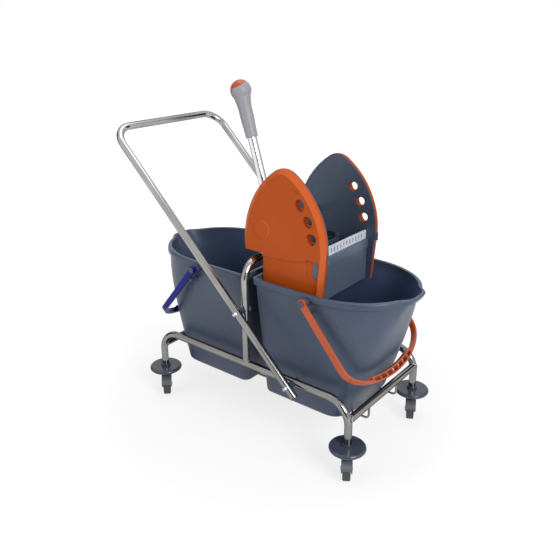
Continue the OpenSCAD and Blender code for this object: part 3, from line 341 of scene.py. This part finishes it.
skin, given, outlet = effect("moulded_skin", ["Cloud scale", "Grain scale"], ["Cloud", "Grain"])
cloud = noise(skin, given["Vector"], given["Cloud scale"], 4.0, 0.55)
skin.links.new(ramp(skin, cloud, 0.3, 0.7), outlet.inputs["Cloud"])
fine = noise(skin, given["Vector"], given["Grain scale"], 2.0, 0.6)
pitted = {"Vector": given["Vector"], "Scale": given["Grain scale"]}
pits = put(skin, "ShaderNodeTexVoronoi", pitted, feature="SMOOTH_F1").outputs["Distance"]
skin.links.new(worked(skin, "ADD", fine, pits), outlet.inputs["Grain"])

scuffs, given, outlet = effect("scuff_marks", ["Scale", "Amount"], ["Mask"])
layers = []
for turn, squeeze in (((0.2, 0.9, 0.3), (1.0, 0.08, 1.0)), ((1.1, 0.1, 0.8), (0.07, 1.0, 1.0))):
    drawn = put(scuffs, "ShaderNodeMapping", {"Vector": given["Vector"], "Rotation": turn,
                                              "Scale": squeeze}).outputs["Vector"]
    layers.append(ramp(scuffs, noise(scuffs, drawn, given["Scale"], 3.0, 0.65), 0.64, 0.74))
either = worked(scuffs, "MAXIMUM", *layers)
patch_scale = 14.0
patches = ramp(scuffs, noise(scuffs, given["Vector"], patch_scale, 3.0), 0.5, 0.68)
rubbing = times(scuffs, times(scuffs, either, patches), given["Amount"])
scuffs.links.new(rubbing, outlet.inputs["Mask"])


def normal_of(tree):
    """Parts of the surface's direction."""
    direction = put(tree, "ShaderNodeNewGeometry").outputs["Normal"]
    return put(tree, "ShaderNodeSeparateXYZ", {0: direction}).outputs


dust, given, outlet = effect("settled_dust", ["Scale", "Amount"], ["Mask"])
upward = ramp(dust, normal_of(dust)["Z"], 0.55, 1.0)
drift = ramp(dust, noise(dust, given["Vector"], given["Scale"], 5.0, 0.65), 0.35, 0.75)
dust.links.new(times(dust, times(dust, upward, drift), given["Amount"]), outlet.inputs["Mask"])


def moulded_plastic(name, colour, deep, rubbed, gloss=(0.34, 0.48), grain=900.0, depth=0.06,
                    cloud_scale=7.0, scuff=0.35, scuff_scale=60.0, dusty=0.10, shine=0.5):
    """Moulded plastic: cloudy tone, fine grain, thin scuffs and a little dust on what faces up."""
    dust_scale, dust_tone, rub_gloss, grain_height = 35.0, (0.42, 0.42, 0.41), 0.3, 0.0004
    finish, tree, shader, coords = new_finish(name)
    sizes = {"Vector": coords, "Cloud scale": cloud_scale, "Grain scale": grain}
    surface = place(tree, skin, sizes)
    rubs = place(tree, scuffs, {"Vector": coords, "Scale": scuff_scale, "Amount": scuff})["Mask"]
    settled = place(tree, dust, {"Vector": coords, "Scale": dust_scale, "Amount": dusty})["Mask"]
    tone = shade_between(tree, surface["Cloud"], deep, colour)
    tone = shade_between(tree, rubs, tone, rubbed)
    tone = shade_between(tree, settled, tone, dust_tone)
    tree.links.new(tone, shader.inputs["Base Color"])
    cloudy = ramp(tree, surface["Cloud"], 0.0, 1.0, gloss[1], gloss[0])
    scuffed = times(tree, rubs, rub_gloss)
    tree.links.new(worked(tree, "ADD", cloudy, scuffed), shader.inputs["Roughness"])
    shader.inputs["Specular IOR Level"].default_value = shine
    relief(tree, shader, surface["Grain"], depth, grain_height)
    return finish


bumper_plastic = moulded_plastic("bumper_plastic", (0.042, 0.054, 0.084), (0.031, 0.040, 0.066),
                                 (0.16, 0.16, 0.18), gloss=(0.18, 0.3), grain=700.0, scuff=0.5,
                                 dusty=0.06)
eased("handle_spacers", bumper_plastic, 0)
eased("handle_plugs", bumper_plastic, 0.8)

# Bumper discs: thick plastic rollers on the caster stems that keep the trolley off walls, with a
# collar round each leg. The sleeves inside the legs and the steel stems carry the casters.
eased("bumper_discs", bumper_plastic, 0.6)
dress(bumper_plastic, "bumper_plastic", "stem_sleeves")
dress(zinc, "zinc_steel", "caster_stems")

# Casters: hooded grey plastic forks with a dished plastic wheel and a grey rubber tyre on a
# riveted steel axle. Rubber is dull, with painted shade along its lowest part by the floor.
caster_plastic = moulded_plastic("caster_plastic", (0.112, 0.118, 0.140), (0.086, 0.090, 0.108),
                                 (0.24, 0.24, 0.25), gloss=(0.3, 0.42), grain=1100.0, scuff=0.5)
tyre_rubber, tree, shader, coords = new_finish("tyre_rubber")
surface = place(tree, skin, {"Vector": coords, "Cloud scale": 30.0, "Grain scale": 1600.0})
tone = shade_between(tree, surface["Cloud"], (0.038, 0.039, 0.040), (0.056, 0.057, 0.058))
# Painted shade: the tyre turns darker in patches within 12 mm of the floor, where contact shade
# falls.
height_above = put(tree, "ShaderNodeSeparateXYZ", {0: coords}).outputs["Z"]
by_floor = ramp(tree, height_above, 0.0, 0.012, 1.0, 0.0)
painted_contact_shade = times(tree, by_floor, ramp(tree, noise(tree, coords, 120.0, 4.0), 0.3, 0.6, 0.5, 1.0))
contact_shaded = shade_between(tree, painted_contact_shade, tone, (0.030, 0.029, 0.028))
tree.links.new(contact_shaded, shader.inputs["Base Color"])
dullness = ramp(tree, surface["Cloud"], 0.0, 1.0, 0.55, 0.75)
tree.links.new(dullness, shader.inputs["Roughness"])
relief(tree, shader, surface["Grain"], 0.12, 0.0005)
for corner in ("front_near", "front_far", "rear_near", "rear_far"):
    eased(corner + "_fork", caster_plastic, 0.8)
    eased(corner + "_hub", caster_plastic, 0.4)
    eased(corner + "_tyre", tyre_rubber, 0)
    eased(corner + "_axle", zinc, 0.3)

# Buckets: two alike, moulded in blue-grey polypropylene, flat where they stand back to back and
# round at the outer end, with a rolled rim, a wide pour spout and round bosses for the bail.
bucket_plastic = moulded_plastic("bucket_plastic", (0.048, 0.067, 0.114), (0.038, 0.054, 0.095),
                                 (0.20, 0.22, 0.26), gloss=(0.36, 0.46), grain=800.0, depth=0.05,
                                 cloud_scale=5.0, scuff=0.28, scuff_scale=45.0, dusty=0.05)


def overlay(finish, mask, colour):
    """Lays one more colour over a finish, by a mask."""
    tree = finish.node_tree
    colour_in = tree.nodes["Principled BSDF"].inputs["Base Color"]
    under = colour_in.links[0].from_socket
    tree.links.new(shade_between(tree, mask, under, colour), colour_in)


# Painted light: the buckets' insides get a lighter, bluer tone that stands in for the bounce light
# and shade inside them.
inside = put(bucket_plastic.node_tree, "ShaderNodeAttribute", attribute_name="inside")
overlay(bucket_plastic, inside.outputs["Fac"], (0.072, 0.112, 0.222))

bucket_low, bucket_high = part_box("front_bucket")
foot_z = bucket_low.z / mm
rim_z = bucket_high.z / mm
spout_tip = bucket_high.x / mm - hoop_x
rim_w, rim_h, wall, foot_round = 7.0, 16.0, 3.5, 9.0
flat_top, flat_foot = 17.5, 30.0
end_top, end_foot = 386.0, 284.0
half_top, half_foot = 153.0, 134.5
straight_top, straight_foot = 0.48, 0.71
power_top, power_foot = 2.05, 3.8
corner_top, corner_foot = 12.0, 24.0
wall_swell, shoulder_hold = 1.1, 2
spout_half, spout_blend, spout_drop, spout_fade, spout_from = 60.0, 34.0, 66.0, 1.5, 250
end_steps, side_steps, corner_steps, back_steps = 96, 8, 10, 16


def plan(flat, end, half, start, power, corner, grow):
    """Points round the bucket seen from above: round end, side, corner, flat back, corner, side."""
    points = []
    for i in range(end_steps):
        t = math.radians(-90 + 180 * i / end_steps)
        points.append((start + (end + grow - start) * abs(math.cos(t)) ** (2 / power),
                       math.copysign((half + grow) * abs(math.sin(t)) ** (2 / power), t)))
    for i in range(side_steps):
        points.append((start + (flat + corner - start) * i / side_steps, half + grow))
    for i in range(corner_steps):
        t = math.radians(90 + 90 * i / corner_steps)
        points.append((flat + corner + (corner + grow) * math.cos(t),
                       half - corner + (corner + grow) * math.sin(t)))
    for i in range(back_steps):
        points.append((flat - grow, (half - corner) * (1 - 2 * i / back_steps)))
    for i in range(corner_steps):
        t = math.radians(180 + 90 * i / corner_steps)
        points.append((flat + corner + (corner + grow) * math.cos(t),
                       corner - half + (corner + grow) * math.sin(t)))
    for i in range(side_steps):
        points.append((flat + corner + (start - flat - corner) * i / side_steps, -half - grow))
    return np.array(points)


def spout_push(xy, z):
    """Forward push of the wall into the spout, wide and blunt at the rim and gone lower down."""
    reach = spout_tip - end_top - rim_w
    across = np.clip((spout_half - np.abs(xy[:, 1])) / spout_blend, 0, 1)
    across = across * across * (3 - 2 * across)
    up = np.clip((z - (rim_z - spout_drop)) / spout_drop, 0, 1) ** spout_fade
    return np.where(xy[:, 0] > spout_from, reach * across * up, 0.0)


def climb(z):
    """Share of the way from the foot's round edge up to the rim."""
    return min(1.0, max(0.0, (z - foot_z - foot_round) / (rim_z - foot_z - foot_round)))


def bucket_ring(z, grow):
    """Ring of points at one height, between foot and rim, grown outwards."""
    share = climb(z)
    low = (flat_foot, end_foot, half_foot, flat_foot + straight_foot * (end_foot - flat_foot),
           power_foot, corner_foot)
    top = (flat_top, end_top, half_top, flat_top + straight_top * (end_top - flat_top),
           power_top, corner_top)
    ways = (share, 1 - (1 - share) ** wall_swell, share, share, share ** shoulder_hold, share)
    xy = plan(*[a + (b - a) * way for a, b, way in zip(low, top, ways)], grow)
    xy[:, 0] += spout_push(xy, z)
    return np.column_stack([xy, np.full(len(xy), z)])


def arc(centre_grow, centre_z, radius, start, stop, steps):
    """Rounded run of the wall section: pairs of height and growth."""
    turn = [math.radians(start + (stop - start) * i / steps) for i in range(steps + 1)]
    return [(centre_z + radius * math.sin(t), centre_grow + radius * math.cos(t)) for t in turn]


under_rim = rim_z - wall
fillet_r, lip_r, outer_r, inner_r, floor_r, floor_t = 3.0, 1.3, 3.6, 2.2, 7.0, 4.0
bulge_at, bulge, wall_end, wall_steps = 0.55, 0.25, 18, 12
wall_low = foot_z + foot_round
outer_run = under_rim - 2 * fillet_r - foot_z - foot_round
inner_run = rim_z - foot_z - wall_end
section = arc(-foot_round, wall_low, foot_round, -90, 0, 6)
section += [(wall_low + outer_run * i / wall_steps, 0.0) for i in range(1, wall_steps + 1)]
section += arc(fillet_r, under_rim - fillet_r, fillet_r, 180, 90, 3)[1:]
section += [(under_rim - fillet_r / 2, rim_w - 2 * lip_r)]
section += arc(rim_w - lip_r, rim_z - rim_h + lip_r, lip_r, 180, 360, 6)
section += [(rim_z - rim_h * bulge_at, rim_w + bulge)]
section += arc(rim_w - outer_r, rim_z - outer_r, outer_r, 0, 90, 5)
section += arc(-wall + inner_r, rim_z - inner_r, inner_r, 90, 180, 4)
inside_from = len(section)
section += [(rim_z - inner_r - inner_run * i / wall_steps, -wall) for i in range(1, wall_steps + 1)]
section += arc(-wall - floor_r, foot_z + floor_t + floor_r, floor_r, 0, -90, 5)[1:]


def bands(count, rings):
    """Faces between closed rings of points that follow each other."""
    return [(i * count + k, i * count + (k + 1) % count,
             (i + 1) * count + (k + 1) % count, (i + 1) * count + k)
            for i in range(rings - 1) for k in range(count)]


def lathe(points, centre, axis, steps=40):
    """Closed turned form from (radius, height) points round an axis, as vertices and faces."""
    turn = axis.to_track_quat("Z", "Y").to_matrix()
    verts = []
    for radius, height in points:
        for k in range(steps):
            t = 2 * math.pi * k / steps
            spot = Vector((radius * math.cos(t), radius * math.sin(t), height))
            verts.append(centre + turn @ spot)
    faces = bands(steps, len(points))
    faces.append(tuple(reversed(range(steps))))
    faces.append(tuple((len(points) - 1) * steps + k for k in range(steps)))
    return verts, faces


def mesh_piece(name, verts, faces, finish, body, sharp=40.0):
    """Piece from vertices and faces, with its normals outwards and its curved faces smooth."""
    mesh = bpy.data.meshes.new(name)
    mesh.from_pydata([tuple(v) for v in verts], [], faces)
    form = bmesh.new()
    form.from_mesh(mesh)
    bmesh.ops.recalc_face_normals(form, faces=form.faces)
    smooth_curves(form, math.radians(sharp))
    form.to_mesh(mesh)
    form.free()
    mesh.materials.append(finish)
    piece = in_scene(name, mesh)
    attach(piece, body)
    return piece


pivot_x, pivot_z, boss_y, boss_r = 182.0, 432.0, 166.5, 12.0
lug_x, lug_z, lug_y, lug_r = 191.09, 400.43, 174.5, 5.0
widest_ease, into_wall = 1.2, 0.6


def bucket(name, facing, painted_bounce_share):
    """One bucket with its bosses and lugs, and painted bluish bounce light on its inside, by a
    share.
    """
    rings = [bucket_ring(z, grow) for z, grow in section]
    count = len(rings[0])
    verts = [at(facing * x, y, z) for ring in rings for x, y, z in ring]
    faces = bands(count, len(rings))
    faces.append(tuple(range(count)))
    faces.append(tuple((len(rings) - 1) * count + k for k in range(count)))
    for side in (-1, 1):
        for x, z, radius, out in ((pivot_x, pivot_z, boss_r, boss_y), (lug_x, lug_z, lug_r, lug_y)):
            start = half_foot + (half_top - half_foot) * climb(z) - into_wall * wall
            ease = min(widest_ease, radius / 4)
            shoulder = out - start - ease
            turned = [(radius * mm, 0.0), (radius * mm, shoulder * mm)]
            turned += [((radius - ease + ease * math.cos(math.radians(a))) * mm,
                        (shoulder + ease * math.sin(math.radians(a))) * mm) for a in (30, 60, 90)]
            more, quads = lathe(turned, at(facing * x, side * start, z), Vector((0, side, 0)))
            faces += [tuple(len(verts) + i for i in quad) for quad in quads]
            verts += more
    piece = mesh_piece(name + "_moulding", verts, faces, bucket_plastic, name,
                       sharp=50.0)
    painted_bounce_by_point = np.zeros(len(verts), dtype=np.float32)
    painted_bounce_by_point[inside_from * count:len(rings) * count] = painted_bounce_share
    piece.data.attributes.new("inside", "FLOAT", "POINT").data.foreach_set("value", painted_bounce_by_point)
    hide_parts(name)


# Painted light: the front bucket's inside gets the full painted bounce light, the rear one's less.
bucket("front_bucket", 1, 1.0)
bucket("rear_bucket", -1, 0.3)
for pins in ("front_bail_pins", "rear_bail_pins"):
    eased(pins, bucket_plastic, 0.8)

# Bails: flat moulded straps that swing on the bucket's pins, with an open ladder of windows where
# the hand takes them. The front one is orange and the rear one blue, to keep the waters apart.
orange_strap = moulded_plastic("orange_strap", (0.540, 0.100, 0.030), (0.450, 0.078, 0.022),
                               (0.62, 0.27, 0.17), gloss=(0.24, 0.36), grain=1000.0, scuff=0.4,
                               scuff_scale=90.0, shine=0.4)
blue_strap = moulded_plastic("blue_strap", (0.008, 0.014, 0.200), (0.006, 0.010, 0.155),
                             (0.05, 0.07, 0.26), gloss=(0.24, 0.36), grain=1000.0, scuff=0.4,
                             scuff_scale=90.0, dusty=0.04, shine=0.15)
eased("front_bail", orange_strap, 1.2, segments=3)
eased("rear_bail", blue_strap, 1.2, segments=3)

# Press panels: leaf-shaped grey inner panels with orange clip-on covers outside, bevelled all
# round and pierced by a row of holes. Orange caps hide the shaft's ends.
cover_plastic = moulded_plastic("cover_plastic", (0.480, 0.082, 0.010), (0.430, 0.070, 0.007),
                                (0.58, 0.17, 0.06), gloss=(0.36, 0.46), grain=900.0, depth=0.05,
                                cloud_scale=6.0, scuff=0.22, dusty=0.04, shine=0.16)
panel_plastic = moulded_plastic("panel_plastic", (0.056, 0.077, 0.118), (0.045, 0.063, 0.100),
                                (0.15, 0.17, 0.21), gloss=(0.34, 0.44), grain=900.0, depth=0.05,
                                dusty=0.04)
tree = cover_plastic.node_tree
shader = tree.nodes["Principled BSDF"]
# Painted highlight: the covers' bevelled faces get a lighter orange that stands in for light
# catching them, and the same mask gives them a thin gloss coat.
flatness = worked(tree, "ABSOLUTE", normal_of(tree)["Y"])
painted_sheen_and_coat = times(tree, ramp(tree, flatness, 0.97, 0.88), ramp(tree, flatness, 0.3, 0.6))
overlay(cover_plastic, painted_sheen_and_coat, (0.540, 0.102, 0.020))
tree.links.new(times(tree, painted_sheen_and_coat, 0.22), shader.inputs["Coat Weight"])
shader.inputs["Coat Roughness"].default_value = 0.35

hole_spots = ((139.9, 655.5), (163.1, 618.7), (174.9, 578.3))
hole_centre, hole_reach = 1.0, 15.0
panel_hole, panel_hole_wide = 11.0, 14.6
sleeve_in, sleeve_out, sleeve_wide = 13.0, 14.0, 15.4
recess_in, recess_out, recess_sunk = 124.5, 126.0, 118.5


def reshape_holes(points, change):
    """Gives each point round a hole a new distance from the hole's axis and a new depth."""
    for point in points:
        for x, z in hole_spots:
            off = point.co - at(x, point.co.y / mm, z)
            away = off.length / mm
            if hole_centre < away < hole_reach:
                radius, depth = change(away, abs(point.co.y) / mm)
                point.co += off * (radius / away - 1.0)
                point.co.y = math.copysign(depth * mm, point.co.y)


def wide_holes(points):
    """Opens the inner panel's holes, so that the cover's sleeves show in them."""
    def change(away, depth):
        return panel_hole_wide if away < panel_hole else away, depth

    reshape_holes(points, change)


def sunk_holes(points):
    """Sinks the cover's holes deeper into wider sleeves."""
    def change(away, depth):
        if sleeve_in < away < sleeve_out:
            return sleeve_wide, depth
        return away, recess_sunk if recess_in < depth < recess_out else depth

    reshape_holes(points, change)


for side in ("near", "far"):
    eased(side + "_inner_panel", panel_plastic, 0.8, reshape=wide_holes)
    eased(side + "_cover", cover_plastic, 1.0, sharp=22.0, reshape=sunk_holes)
eased("pivot_caps", cover_plastic, 0.8)

# Press basket: grey front wall with a thick lip, slotted drain floor, rear beam with the hook and
# a pale ribbed grid that the mop is pressed against. Grey clips show in the covers' windows.
pale_plastic = moulded_plastic("pale_plastic", (0.660, 0.680, 0.740), (0.540, 0.560, 0.620),
                               (0.40, 0.40, 0.42), gloss=(0.35, 0.5), grain=900.0,
                               cloud_scale=40.0, scuff=0.5, dusty=0.05)
# Painted light: the front wall and the clips take a lighter copy of the grey panel plastic, which
# stands in for more light falling on them.
painted_light_wall_plastic = moulded_plastic("painted_light_wall_plastic", (0.088, 0.116, 0.168), (0.074, 0.098, 0.146),
                               (0.18, 0.20, 0.24), gloss=(0.34, 0.44), grain=900.0, depth=0.05,
                               dusty=0.04)
wall_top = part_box("press_front_wall")[1].z
grid_height_kept = 0.68


def low_grid(points):
    """Lets the grid stand less high above the wall."""
    for point in points:
        if point.co.z > wall_top:
            point.co.z = wall_top + grid_height_kept * (point.co.z - wall_top)


eased("press_front_wall", painted_light_wall_plastic, 0.9)
eased("cover_clips", painted_light_wall_plastic, 0.8)
eased("press_floor", panel_plastic, 0.9)
eased("press_rear_beam", panel_plastic, 0.9)
eased("counter_grid", pale_plastic, 0.8, reshape=low_grid)
eased("shaft_bushes", bumper_plastic, 0.4)

# Press drive: a steel shaft turns two toothed sectors that push two racks with the press plate,
# and a torsion spring brings the lever up again. Plain steel, darkened by a film of grease.
greased_steel = bright_metal("greased_steel", (0.20, 0.20, 0.20), (0.10, 0.098, 0.092),
                             gloss=(0.22, 0.4), line_scale=380.0, line_depth=0.1)
dress(greased_steel, "zinc_steel", "press_shaft")
eased("drive_sectors", greased_steel, 0.3)
eased("press_racks", greased_steel, 0.3)
eased("return_spring", greased_steel, 0, sharp=70.0)
eased("press_plate", panel_plastic, 0.8)

# Lever: chromed tube pinned in a plastic socket on the shaft, with a long soft-grey grip that ends
# in a ball knob, and an orange cap set in the knob's top.
eased("lever_socket", caster_plastic, 0.8)
eased("socket_pin", zinc, 0.4)
silvered = bright_metal("silvered_tube", (0.86, 0.86, 0.88), (0.74, 0.74, 0.77),
                        gloss=(0.14, 0.26), line_scale=260.0, line_depth=0.04, edge=0.25)
eased("lever_tube", silvered, 0)
grip_plastic = moulded_plastic("grip_plastic", (0.310, 0.310, 0.335), (0.262, 0.262, 0.285),
                               (0.40, 0.40, 0.42), gloss=(0.38, 0.5), grain=1300.0, depth=0.1,
                               scuff=0.3, dusty=0.03, shine=0.35)
cap_plastic = moulded_plastic("cap_plastic", (0.48, 0.066, 0.014), (0.40, 0.050, 0.010),
                              (0.62, 0.22, 0.12), gloss=(0.22, 0.32), grain=1200.0, scuff=0.2,
                              shine=0.4)
shaft_low, shaft_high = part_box("press_shaft")
shaft_at = (shaft_low + shaft_high) / 2
lever_lean, lever_y = math.radians(17.0), -81.0
lever_axis = Vector((-math.sin(lever_lean), 0.0, math.cos(lever_lean)))
lever_root = Vector((shaft_at.x, lever_y * mm, shaft_at.z))
lever_steps, station_steps = 56, 4
stations = [(223.0, 13.6), (224.2, 14.8), (227.0, 15.4), (246.0, 15.6), (261.0, 16.7),
            (276.0, 17.3), (291.0, 17.0), (300.0, 17.5), (307.0, 18.5), (314.0, 19.7),
            (321.0, 20.7), (327.0, 22.3)]
turned = []
for (low_s, low_r), (high_s, high_r) in zip(stations, stations[1:]):
    for i in range(station_steps):
        share = i / station_steps
        turned.append((low_r + (high_r - low_r) * share, low_s + (high_s - low_s) * share))
shape, quads = lathe([(r * mm, s * mm) for r, s in turned], lever_root, lever_axis, lever_steps)
knob_reach, knob_r, knob_foot = 337.5, 26.0, math.radians(-70.0)
knob_at = lever_root + lever_axis * (knob_reach * mm)
cap_axis = Vector((-0.273, -0.333, 0.903))
cap_rim, cap_top, groove = math.radians(36.0), math.radians(89.0), 0.5
cap_proud, cap_skirt = 0.3, 4.0


def ball_part(radius, low, high, steps):
    """Turned part of a ball between two angles above its middle."""
    turns = [low + (high - low) * i / steps for i in range(steps + 1)]
    return [(max(0.01, radius * math.cos(t)) * mm, radius * math.sin(t) * mm) for t in turns]


knob = ball_part(knob_r, knob_foot, cap_rim, 28)
more, other = lathe(knob, knob_at, cap_axis, lever_steps)
quads += [tuple(len(shape) + i for i in quad) for quad in other]
grip = mesh_piece("lever_grip_moulding", shape + more, quads, grip_plastic, "lever")
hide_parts("lever_grip")
dome = ball_part(knob_r + cap_proud, cap_rim + groove / knob_r, cap_top, 16)
dome = [(dome[0][0], dome[0][1] - cap_skirt * mm)] + dome
shape, quads = lathe(dome, knob_at, cap_axis, lever_steps)
button = mesh_piece("knob_cap_button", shape, quads, cap_plastic, "lever")
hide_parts("knob_cap")


# Stage: white floor that keeps the trolley's shadow, soft studio light from the right, left and
# above, and dark cards that only show mirrored, as edges on the chrome. Camera as in the photo.
def sheet(name, corners, finish, shown=True):
    """Flat sheet of the stage, seen by the camera or only mirrored."""
    mesh = bpy.data.meshes.new(name)
    mesh.from_pydata(corners, [], [(0, 1, 2, 3)])
    mesh.materials.append(finish)
    card = in_scene(name, mesh)
    card.visible_camera = shown


def seen_directly(tree):
    """One for what the camera sees, straight, mirrored or through something."""
    path = put(tree, "ShaderNodeLightPath").outputs
    seen = worked(tree, "MAXIMUM", path["Is Camera Ray"], path["Is Glossy Ray"])
    return worked(tree, "MAXIMUM", seen, path["Is Transmission Ray"])


floor_half, floor_share = 6.0, 0.72
floor_finish = bpy.data.materials.new("studio_floor")
floor_finish.use_nodes = True
tree = floor_finish.node_tree
tree.nodes.remove(tree.nodes["Principled BSDF"])
lit = put(tree, "ShaderNodeBsdfDiffuse", {"Color": (0.86, 0.86, 0.86, 1.0)})
spot = put(tree, "ShaderNodeTexCoord").outputs["Object"]
from_middle = put(tree, "ShaderNodeVectorMath", {0: spot}, operation="LENGTH").outputs["Value"]
white = put(tree, "ShaderNodeEmission", {"Color": (1.0, 1.0, 1.0, 1.0),
                                         "Strength": ramp(tree, from_middle, 0.45, 1.3, 1.06, 1.4)})
shown_white = times(tree, seen_directly(tree), floor_share)
both = put(tree, "ShaderNodeMixShader", {0: shown_white, 1: lit.outputs[0], 2: white.outputs[0]})
tree.links.new(both.outputs[0], tree.nodes["Material Output"].inputs["Surface"])
sheet("studio_floor", [(-floor_half, -floor_half, 0), (floor_half, -floor_half, 0),
                       (floor_half, floor_half, 0), (-floor_half, floor_half, 0)], floor_finish)

world = bpy.data.worlds.new("studio")
bpy.context.scene.world = world
world.use_nodes = True
tree = world.node_tree
soft = tree.nodes["Background"]
soft.inputs["Color"].default_value = (0.97, 0.98, 1.0, 1.0)
soft.inputs["Strength"].default_value = 0.42
plain = put(tree, "ShaderNodeBackground", {"Color": (1.0, 1.0, 1.0, 1.0), "Strength": 1.0})
both = put(tree, "ShaderNodeMixShader",
           {0: seen_directly(tree), 1: soft.outputs[0], 2: plain.outputs[0]})
tree.links.new(both.outputs[0], tree.nodes["World Output"].inputs["Surface"])

aim = Vector((0.0, 0.0, 0.42))
for name, spot, width, watts in (("key_light", (2.7, -1.0, 1.9), 1.3, 66.0),
                                 ("fill_light", (-1.2, -2.5, 1.4), 1.6, 20.0),
                                 ("top_light", (-0.2, 0.4, 2.8), 1.8, 18.0)):
    lamp = bpy.data.lights.new(name, "AREA")
    lamp.size = width
    lamp.energy = watts
    stand = in_scene(name, lamp)
    stand.location = spot
    stand.rotation_euler = (aim - Vector(spot)).to_track_quat("-Z", "Y").to_euler()
    stand.visible_glossy = name != "fill_light"

card_finish = bpy.data.materials.new("dark_card")
card_finish.use_nodes = True
shader = card_finish.node_tree.nodes["Principled BSDF"]
shader.inputs["Base Color"].default_value = (0.02, 0.02, 0.018, 1.0)
shader.inputs["Roughness"].default_value = 0.9

azimuth, elevation, roll = math.radians(38.0605), math.radians(22.2795), math.radians(-0.1235)
card_top = Vector((0, 0, 2.0))
for name, off_axis, distance, half_wide in (("left_card", 66.0, 2.2, 0.45),
                                            ("right_card", -66.0, 2.2, 0.45),
                                            ("front_card", 180.0, 3.0, 0.9)):
    away = azimuth + math.radians(off_axis)
    middle = Vector((-math.sin(away), math.cos(away), 0.0)) * distance
    along = Vector((math.cos(away), math.sin(away), 0.0)) * half_wide
    sheet(name, [tuple(middle - along), tuple(middle + along), tuple(middle + along + card_top),
                 tuple(middle - along + card_top)], card_finish, shown=False)

focal_px, image_px = 648.42, 560
back = Vector((math.sin(azimuth) * math.cos(elevation), -math.cos(azimuth) * math.cos(elevation),
               math.sin(elevation)))
level = Vector((math.cos(azimuth), math.sin(azimuth), 0.0))
right = level * math.cos(roll) + back.cross(level) * math.sin(roll)
up = back.cross(right)
lens = bpy.data.cameras.new("photo_camera")
lens.sensor_width = 36.0
lens.lens = focal_px * lens.sensor_width / image_px
camera = in_scene("photo_camera", lens)
turn = Matrix((right, up, back)).transposed().to_4x4()
turn.translation = at(1007.13, -1308.42, 1068.73)
camera.matrix_world = turn
bpy.context.scene.camera = camera
bpy.context.scene.view_settings.view_transform = "Standard"

bpy.context.view_layer.update()
